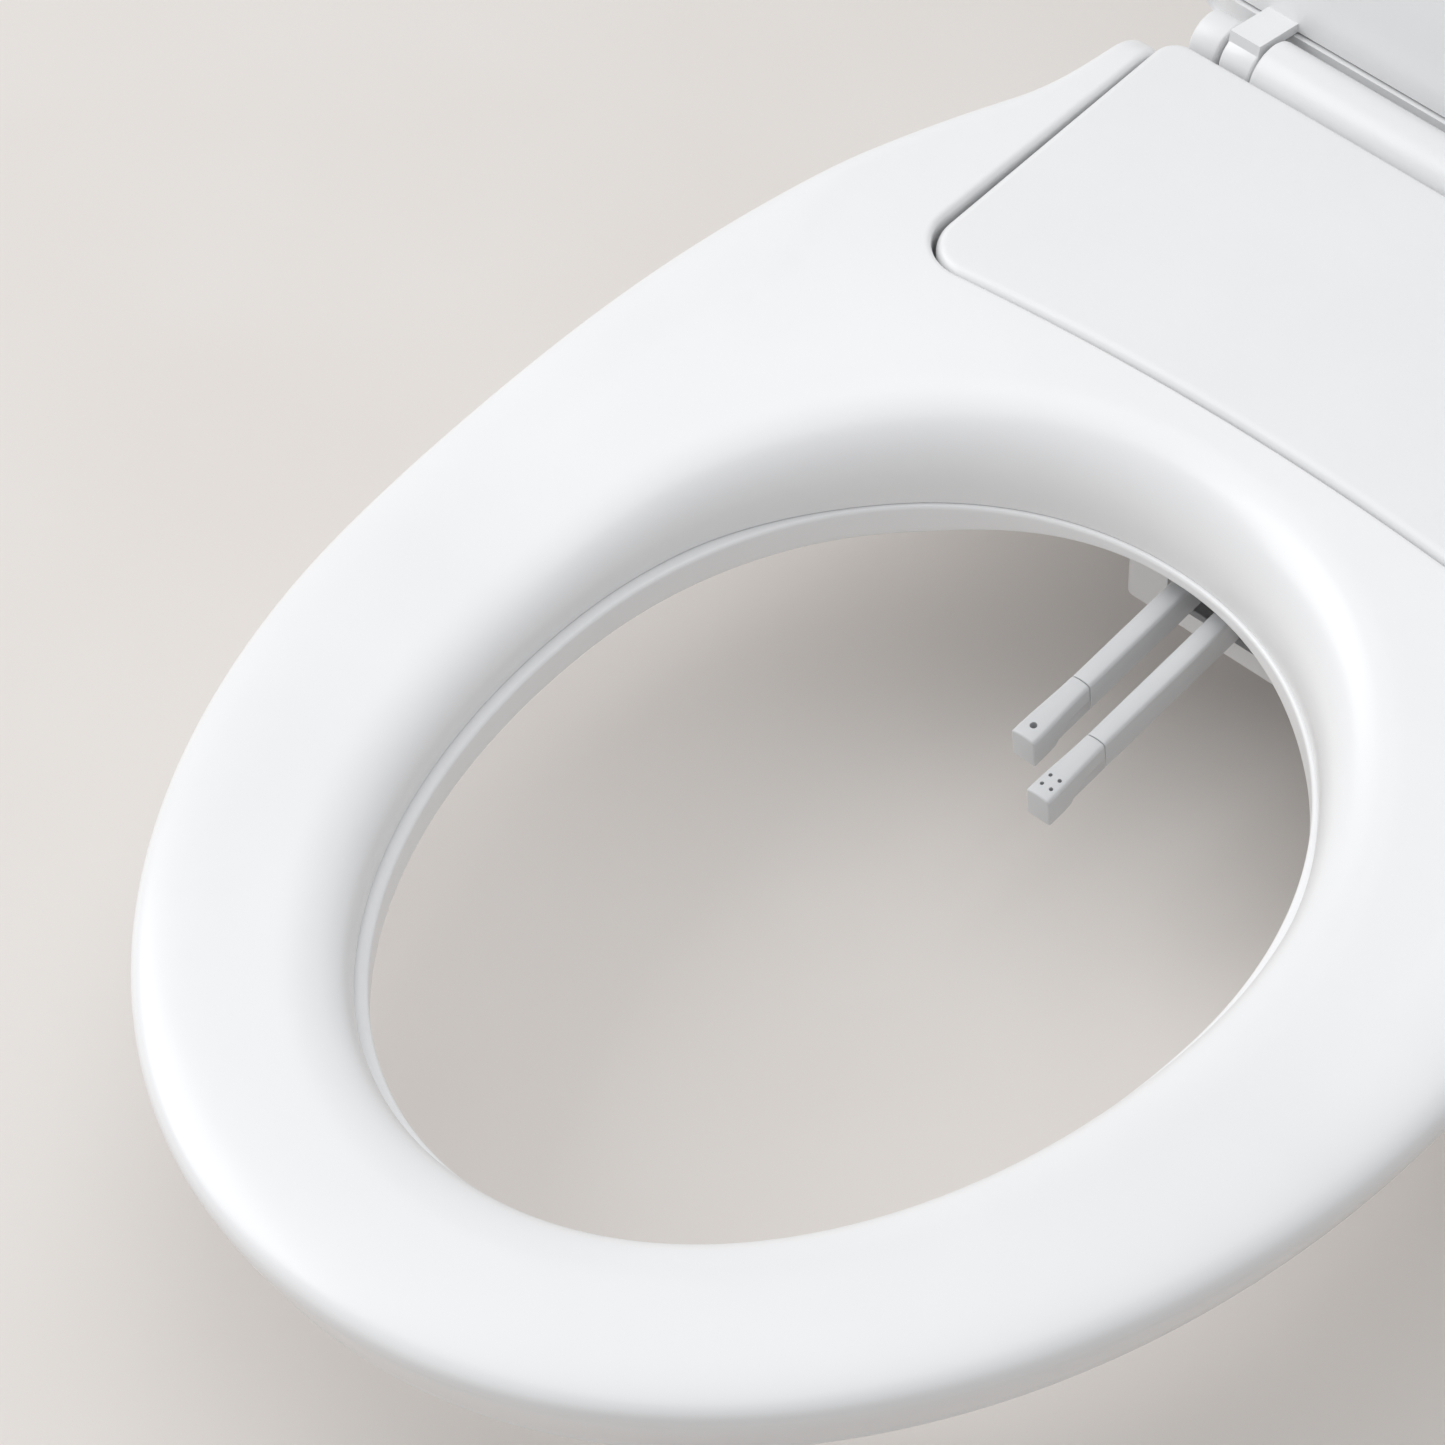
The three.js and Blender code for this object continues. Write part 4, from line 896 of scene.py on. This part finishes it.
def hinge_profile(radius, foot_half):
    """A boss on a foot, seen along X: a circle cut off by a narrower foot that stands in the shelf."""
    foot_z = SHELF_Z - 1
    drop = math.degrees(math.asin(foot_half / radius))
    circle = arc((LID_AXIS_Y, LID_AXIS_Z), radius, -90 + drop, 270 - drop, 40)
    low = [(LID_AXIS_Y - foot_half, foot_z), (LID_AXIS_Y + foot_half, foot_z)]
    return np.vstack([circle, low])


def slab(low, high, from_z, to_z, radius=0.6, bevel=0.0):
    """An upright block with rounded corners, between two corners given in plan."""
    return extruded(rounded_rectangle(low, high, radius), from_z, to_z, along_z, bevel)


def cutter(radius, low, high, centre, axis="z"):
    """A round cutter with barely broken edges."""
    return turned(puck(radius, low, high, 0.1), centre, axis)


def case_openings():
    """Cutters for what passes through the rear wall and the flanks of the cover and the tray."""
    margin, front_y, rear_y = 0.8, 50, 70
    inlet = cutter(INLET_RADIUS + margin / 2, front_y, rear_y, (INLET_X, 0, INLET_Z), "y")
    gland = cutter(GLAND_RADIUS + margin / 2, front_y, rear_y, (GLAND_X, 0, GLAND_Z), "y")
    filter_slot = slab((FILTER_LOW[0] - margin, front_y), (FILTER_HIGH[0] + margin, rear_y),
                       FILTER_LOW[2] - margin, FILTER_HIGH[2] + margin)
    flank = float(outer_half_width(40))
    inner_x, outer_x = flank - 18, flank + 4
    buttons = [cutter(4.9, inner_x, outer_x, (0, y, BUTTON_Z), "x") for y in BUTTON_Y.values()]
    release = slab((-outer_x, RELEASE_Y - 10), (-inner_x, RELEASE_Y + 10), 8, 15.5)
    return [inlet, gland, filter_slot, release, *buttons]


def top_cover():
    """The panel, the shelf behind it with the lid's hinge, and the openings."""
    gap = 1.5
    barrel_x, post_x = EAR_INNER_X - gap, EAR_OUTER_X + gap
    barrel = extruded(hinge_profile(11, 6), -barrel_x, barrel_x, along_x, 1.2)
    posts = [extruded(hinge_profile(9, 7.5), *sorted((side * post_x, side * (post_x + 10.5))), along_x, 1.0)
             for side in SIDES.values()]
    lens = slab((88, -70), (108, -60), 40, 60, 3.4)
    rim = shelf_loop()
    hollow = extruded(rim - outward(rim) * CASE_WALL, SPLIT_Z - 4, SHELF_Z - CASE_WALL, along_z)
    return combined("cover", panel_body(), [shelf_body(), barrel, *posts], [lens, hollow, *case_openings()])


def base_tray():
    """The tray, with a raised floor over the mounting plate's channel and openings for nozzles and duct."""
    split, foot_round = SPLIT_Z - SEAT_SEAM, 3
    rim = housing_loop()
    steps = [(2.4, TRAY_FLOOR), (2.4, split), (0.4, split), (0.1, split - 0.1), (0, split - 0.4), (0.2, 9)]
    steps += [(0.4 + foot_round * w, TRAY_LOW + foot_round * d) for w, d in roll(2, 7)[::-1]]
    rows = [inset_row(rim, inset, z) for inset, z in steps]
    shell = plan_body(rows, None, level(TRAY_FLOOR), level(TRAY_LOW), 9)
    raised = slab((-106, -36), (106, HOUSING_REAR_Y - 1), 2, 8)
    channel = slab((-104, -34), (104, 70), 0, 6)
    bay = slab((NOZZLE_CENTRE_X - 37, -104), (NOZZLE_CENTRE_X + 37, -58), -5, 30)
    run = slab((NOZZLE_CENTRE_X - 21, -60), (NOZZLE_CENTRE_X + 21, 16), -5, 14)
    duct = slab((-60, -104), (-40, -80), 3.6, 15)
    return combined("tray", shell, [raised], [channel, bay, run, duct, *case_openings()])


def build_housing():
    settle(top_cover(), "housing", "satin_white", ["top_cover"])
    settle(base_tray(), "housing", "gloss_white", ["base_tray"])
    lens = slab((88.4, -69.6), (107.6, -60.4), 43.5, 47.6, 3, 0.5)
    settle(mesh_object("receiver_window", lens), "housing", "smoked_lens", ["receiver_lens"])


# ---- nozzles ----

def nozzle_frame(lane):
    """Carries a point of a nozzle lane, in millimetres, into the part's frame."""
    c, s = math.cos(NOZZLE_TILT), math.sin(NOZZLE_TILT)
    shift = NOZZLE_ORIGIN + np.array([lane, 0, 0])

    def carry(body):
        x, y, z = body.points.T
        body.points = np.column_stack([x, y * c - z * s, y * s + z * c]) + shift
        return body

    return carry


def nozzle_section(width, height):
    """A bar's section seen from its rear: a gently crowned top with soft shoulders and a flat base."""
    half, low, high = width / 2, -height / 2, height / 2
    shoulder, foot, crown = 1.5, 0.8, 0.25
    right = arc((half - foot, low + foot), foot, -90, 0, 5)
    top_right = arc((half - shoulder, high - shoulder - crown), shoulder, 0, 72, 8)
    x = np.linspace(top_right[-1, 0], 0, 6)[1:]
    top = np.column_stack([x, high - (high - top_right[-1, 1]) * (x / top_right[-1, 0]) ** 2])
    return mirrored(np.vstack([[[0, low]], right, top_right, top]))


def nozzle_bar(stations, front_round):
    """A bar from front to rear through stations (y, width, height, centre height), with rounded ends."""
    rear_round = 0.3
    shares = [(1 - math.sin(a), 1 - math.cos(a)) for a in np.linspace(0, math.pi / 2, 5)]
    first, last = stations[0], stations[-1]
    rows = [(first[0] + front_round * along, front_round * inset, first) for inset, along in shares]
    rows += [(station[0], 0, station) for station in stations[1:-1]]
    rows += [(last[0] - rear_round * along, rear_round * inset, last) for inset, along in shares[::-1]]
    body = Body()
    loops = []
    for y, inset, (_, width, height, centre) in rows:
        section = nozzle_section(width, height)
        u, v = (section - outward(section) * inset).T
        loops.append(body.loop(np.column_stack([u, np.full(len(u), y), v + centre])))
    for front, rear in zip(loops, loops[1:]):
        body.band(rear, front)
    body.faces += [loops[0].tolist(), loops[-1][::-1].tolist()]
    return body


def nozzle_tip(front_y):
    """A spray head: wider and deeper than the tube at its nose, and of the tube's width at its rear."""
    top, neck = TIP_HEIGHT / 2 - 1.2, TUBE_WIDTH + 0.2
    stations = []
    for share in np.linspace(0, 1, 9):
        flare = 1 - smooth(share * 1.15 - 0.1)
        low = -TUBE_HEIGHT / 2 - NOSE_DROP * (1 - ramp(share, 0.35, 0.6))
        stations.append((front_y + TIP_LENGTH * share, neck + (TIP_WIDTH - neck) * flare, top - low,
                         (top + low) / 2))
    return nozzle_bar(stations, 0.7)


def rack_guards(carry, from_y, to_y):
    """The thin side walls under a nozzle that hide its rack."""
    edge = TUBE_WIDTH / 2
    return [carry(slab((x, from_y), (x + GUARD_THICKNESS, to_y), GUARD_LOW, -1, 0.15, 0.1))
            for x in (-edge, edge - GUARD_THICKNESS)]


def build_nozzles():
    holes = {"rear_wash": [(0, 5, 1.15)],
             "front_wash": [(x, y, 0.65) for y in (4.2, 8) for x in (-1.7, 1.7)]}
    for kind, side in (("rear_wash", -1), ("front_wash", 1)):
        carry = nozzle_frame(side * NOZZLE_PITCH / 2)
        front = NOZZLE_FRONT_Y[kind]
        tip_rear = front + TIP_LENGTH
        jets = [carry(turned([(0, -2), (r, -2), (r, 9), (0, 9)], (x, front + y, 0), "z", 24))
                for x, y, r in holes[kind]]
        guards = rack_guards(carry, front + 6, tip_rear)
        tip = combined(f"{kind}_spray_head", carry(nozzle_tip(front)), guards, jets)
        settle(tip, f"{kind}_nozzle", "nozzle_grey", [f"{kind}_tip"], 40)
        tube_front = tip_rear + 0.3
        stations = [(y, TUBE_WIDTH, TUBE_HEIGHT, 0) for y in tube_front + TUBE_LENGTH * np.linspace(0, 1, 12)]
        guards = rack_guards(carry, tube_front, tube_front + TUBE_LENGTH)
        wand = combined(f"{kind}_wand", carry(nozzle_bar(stations, 0.3)), guards)
        settle(wand, f"{kind}_nozzle", "nozzle_grey", [f"{kind}_tube"], 40)


def nozzle_bay():
    outside = slab((-35, -104), (35, -59), -22, 10, 3, 1.0)
    hollow = slab((-33, -102), (33, -61), -20, 20, 2)
    window = slab((-19, -110), (19, -100), -14, 20, 2)
    tail = slab((-20.5, -70), (20.5, -50), -6, 20, 2)
    for body in (outside, hollow, window, tail):
        body.points[:, 0] += NOZZLE_CENTRE_X
    return combined("nozzle_housing", outside, cutters=[hollow, window, tail])


def nozzle_gate():
    plate = slab((-21, -112.5), (21, -97.5), 10.8, 12.2, 4, 0.5)
    lugs = [slab((x, -100.5), (x + 2.5, -97), 8.3, 11.5, 0.6, 0.3) for x in (-20, 17.5)]
    for body in (plate, *lugs):
        body.points[:, 0] += NOZZLE_CENTRE_X
    return combined("nozzle_shutter", plate, lugs)


def build_nozzle_housing():
    settle(nozzle_bay(), "housing", "satin_white", ["nozzle_bay"])
    settle(nozzle_gate(), "housing", "nozzle_grey", ["nozzle_gate"])


# ---- fittings ----

def threaded(crest, low, high, pitch, depth):
    """The outline of a threaded length, as rings of crests and roots."""
    count = int((high - low) / pitch)
    outline = []
    for turn in range(count):
        at = low + turn * pitch
        outline += [(crest - depth, at), (crest, at + 0.35 * pitch), (crest, at + 0.65 * pitch)]
    return outline + [(crest - depth, high)]


def build_mounting():
    """The plate on the bowl's deck, and on each side a bolt, a washer and a wing nut below the deck."""
    plate = slab((-98, -28), (98, 34), 0, 3, 8, 0.5)
    rails = [slab((x, -18), (x + 4, 24), 2, 5, 1.2, 0.5) for x in (-98, 94)]
    slots = [slab((x - 4.5, -15), (x + 4.5, 15), -1, 4, 4.4) for x in (-BOLT_X, BOLT_X)]
    settle(combined("deck_plate", plate, rails, slots), "mount", "black_plastic", ["mounting_plate"])
    thread = threaded(3.8, BOLT_END_Z + 0.7, -18, 1.25, 0.55)
    shank = [(0, BOLT_END_Z), (2.9, BOLT_END_Z), *thread, (3.8, -17.4)]
    head = [(3.8, 3.3), (8.1, 3.3), (8.5, 3.7), (8.5, 4.5), (7.9, 5.1), (6.6, 5.4), (0, 5.4)]
    for name, side in SIDES.items():
        x = side * BOLT_X
        bolt = mesh_object(f"deck_bolt_{name}", turned(shank + head, (x, 0, 0)))
        settle(bolt, "mount", "steel", [f"mounting_bolt_{name}"], 28)
        hole = cutter(4.2, -50, -20, (x, 0, 0))
        disc = turned(puck(14, -26, -22, 0.9), (x, 0, 0))
        washer = combined(f"deck_washer_{name}", disc, cutters=[hole])
        settle(washer, "mount", "rubber", [f"rubber_washer_{name}"])
        hub = turned(puck(9, NUT_Z, -26.4, 1.0), (x, 0, 0))
        wings = slab((x - 19, -2), (x + 19, 2), NUT_Z + 1, NUT_Z + 11, 1.9, 1.0)
        nut = combined(f"deck_nut_{name}", hub, [wings], [hole])
        settle(nut, "mount", "satin_white", [f"wing_nut_{name}"])


def water_inlet():
    """A threaded spout with a bore and a hexagonal flange against the rear wall."""
    centre = (INLET_X, 0, INLET_Z)
    thread = threaded(INLET_RADIUS, 66.4, 75.2, 1.3, 0.7)
    outline = [(0, 44), (9, 44), (INLET_RADIUS, 44.5), *thread, (8.6, 76), (0, 76)]
    flange = turned(puck(12, HOUSING_REAR_Y + 0.4, 66, 0.4), centre, "y", 6)
    bore = cutter(6.5, 56, 80, centre, "y")
    return combined("supply_inlet", turned(outline, centre, "y", 64), [flange], [bore])


def power_gland():
    centre = (GLAND_X, 0, GLAND_Z)
    outline = [(0, 52), (6.2, 52), (GLAND_RADIUS, 52.3), (GLAND_RADIUS, 62.4), (8.0, 62.4), (8.5, 62.9),
               (8.5, 65.5), (8.2, 66.6), (7.2, 67.6), (5.8, 68), (0, 68)]
    return combined("lead_gland", turned(outline, centre, "y"), cutters=[cutter(3.6, 50, 70, centre, "y")])


def filter_cartridge():
    """The deodoriser's filter: a slotted cage behind a cap with a finger groove."""
    (x0, y0, z0), (x1, y1, z1) = FILTER_LOW, FILTER_HIGH
    face_y = HOUSING_REAR_Y + 3
    middle = (x0 + x1) / 2
    cage = slab((x0, y0), (x1, y1 + 1.4), z0, z1, 1, 0.6)
    outline = rounded_rectangle((-x1 - 2, z0 - 1.5), (-x0 + 2, z1 + 1.5), 3)
    cap = extruded(outline, HOUSING_REAR_Y + 0.4, face_y, along_y, 0.8)
    slots = [slab((x, y0 - 1), (x + 4, y0 + 20), z0 + 3, z1 - 3, 1.2) for x in x0 + 3 + 6.4 * np.arange(5)]
    finger = rounded_rectangle((-middle - 10, 14), (-middle + 10, 20), 2.8)
    groove = extruded(finger, face_y - 1.4, face_y + 2, along_y)
    return combined("air_filter", cage, [cap], [*slots, groove])


def press_button(name):
    """A round button with a shallow dish in its face and a collar that keeps it in the case."""
    y = BUTTON_Y[name]
    face = flank_x(y)
    steps = [(0, -8), (5.3, -8), (5.6, -7.7), (5.6, -5.8), (5.3, -5.5), (4.5, -5.5), (4.5, 0.9), (4.3, 1.4),
             (3.9, 1.6), (3.3, 1.5), (1.8, 1.15), (0, 1.05)]
    outline = [(radius, face + out) for radius, out in steps]
    return mesh_object(name + "_cap", turned(outline, (0, y, BUTTON_Z), "x"))


def release_button():
    """A grooved thumb piece with a tongue that reaches into the case."""
    face = flank_x(RELEASE_Y)

    def bar(low, high, radius, inner, outer, bevel=0.0):
        return extruded(rounded_rectangle(low, high, radius), -face + inner, -face + outer, along_x, bevel)

    thumb = bar((RELEASE_Y - 9.4, 8.6), (RELEASE_Y + 9.4, 14.9), 2.4, -2.5, 4, 0.9)
    tongue = bar((RELEASE_Y - 4, 9), (RELEASE_Y + 4, 12), 0.6, 3, 16, 0.3)
    grooves = [bar((RELEASE_Y + along - 0.5, 7), (RELEASE_Y + along + 0.5, 17), 0.45, -3.5, -1.9)
               for along in (-4, 0, 4)]
    return combined("release_latch", thumb, [tongue], grooves)


def build_fittings():
    settle(water_inlet(), "housing", "brass", ["water_inlet"])
    settle(power_gland(), "housing", "black_plastic", ["power_gland"])
    settle(filter_cartridge(), "filter_cartridge", "button_grey", ["filter_cartridge"])
    for name in BUTTON_Y:
        settle(press_button(name), name, "button_grey", [name])
    settle(release_button(), "release_button", "button_grey", ["release_button"])


# ---- the CAD's own meshes ----

def finish_cad_nodes():
    """Gives every CAD node that still shows its slot's material and softly rounded edges."""
    slots = {part["node"]: part["material_slot"] for part in frame["record"]["subparts"]}
    for name, node in frame["nodes"].items():
        if node.hide_render:
            continue
        node.data.materials.clear()
        node.data.materials.append(MATERIALS[slots[name]])
        weld = node.modifiers.new("weld", "WELD")
        weld.merge_threshold = 0.00001
        bevel = node.modifiers.new("edges", "BEVEL")
        bevel.width = 0.0003
        bevel.segments = 2
        bevel.limit_method = "ANGLE"
        bevel.angle_limit = math.radians(35)


# ---- stage ----

def build_stage():
    floor_z = CAD_BOX[0].z - 0.0005
    half = 25.0
    mesh = bpy.data.meshes.new("floor")
    corners = [(-half, -half), (half, -half), (half, half), (-half, half)]
    mesh.from_pydata([(x, y, floor_z) for x, y in corners], [], [(0, 1, 2, 3)])
    floor = bpy.data.objects.new("floor", mesh)
    bpy.context.scene.collection.objects.link(floor)
    made, nodes, links, shader, place = material("floor")
    shade = tint(nodes, links, spread(nodes, links, noise(nodes, links, place, 6), 0, 1),
                 (0.74, 0.7, 0.665), (0.765, 0.73, 0.7))
    links.new(shade, shader.inputs["Base Color"])
    shader.inputs["Roughness"].default_value = 0.65
    mesh.materials.append(made)


def add_light(name, place, target, size, power):
    """A square soft box, hidden from the camera."""
    data = bpy.data.lights.new(name, "AREA")
    data.size = size
    data.energy = power
    light = bpy.data.objects.new(name, data)
    light.location = place
    light.rotation_euler = (Vector(target) - Vector(place)).to_track_quat("-Z", "Y").to_euler()
    light.visible_camera = False
    bpy.context.scene.collection.objects.link(light)


def build_lights():
    middle = (0, -0.2, 0.03)
    add_light("key", (-2.1, -1.0, 1.9), middle, 2.0, 37)
    add_light("overhead", (-0.3, -0.2, 2.4), middle, 2.4, 21)
    world = bpy.data.worlds.new("studio")
    world.use_nodes = True
    sky = world.node_tree.nodes["Background"].inputs
    sky["Color"].default_value = (0.97, 0.98, 1, 1)
    sky["Strength"].default_value = 0.47
    bpy.context.scene.world = world
    bpy.context.scene.view_settings.view_transform = "Standard"


def build_camera():
    """Looks down on the seat from its front right, at the fitted angles, with a long lens."""
    azimuth, elevation, lean = (math.radians(a) for a in (42.26, 48.59, -0.37))
    target, away = Vector((-0.0706, -0.2364, 0.0)), 2.016
    back = Vector((math.sin(azimuth) * math.cos(elevation), -math.cos(azimuth) * math.cos(elevation),
                   math.sin(elevation)))
    data = bpy.data.cameras.new("camera")
    data.lens = 174.4
    data.sensor_width = 36
    data.clip_start, data.clip_end = 0.05, 60
    camera = bpy.data.objects.new("camera", data)
    camera.rotation_mode = "QUATERNION"
    camera.rotation_quaternion = Quaternion(back, lean) @ (-back).to_track_quat("-Z", "Y")
    camera.location = target + back * away
    bpy.context.scene.collection.objects.link(camera)
    bpy.context.scene.camera = camera


build_camera()
build_stage()
build_lights()
build_seat()
build_lid()
build_housing()
build_nozzles()
build_nozzle_housing()
build_fittings()
build_mounting()
finish_cad_nodes()
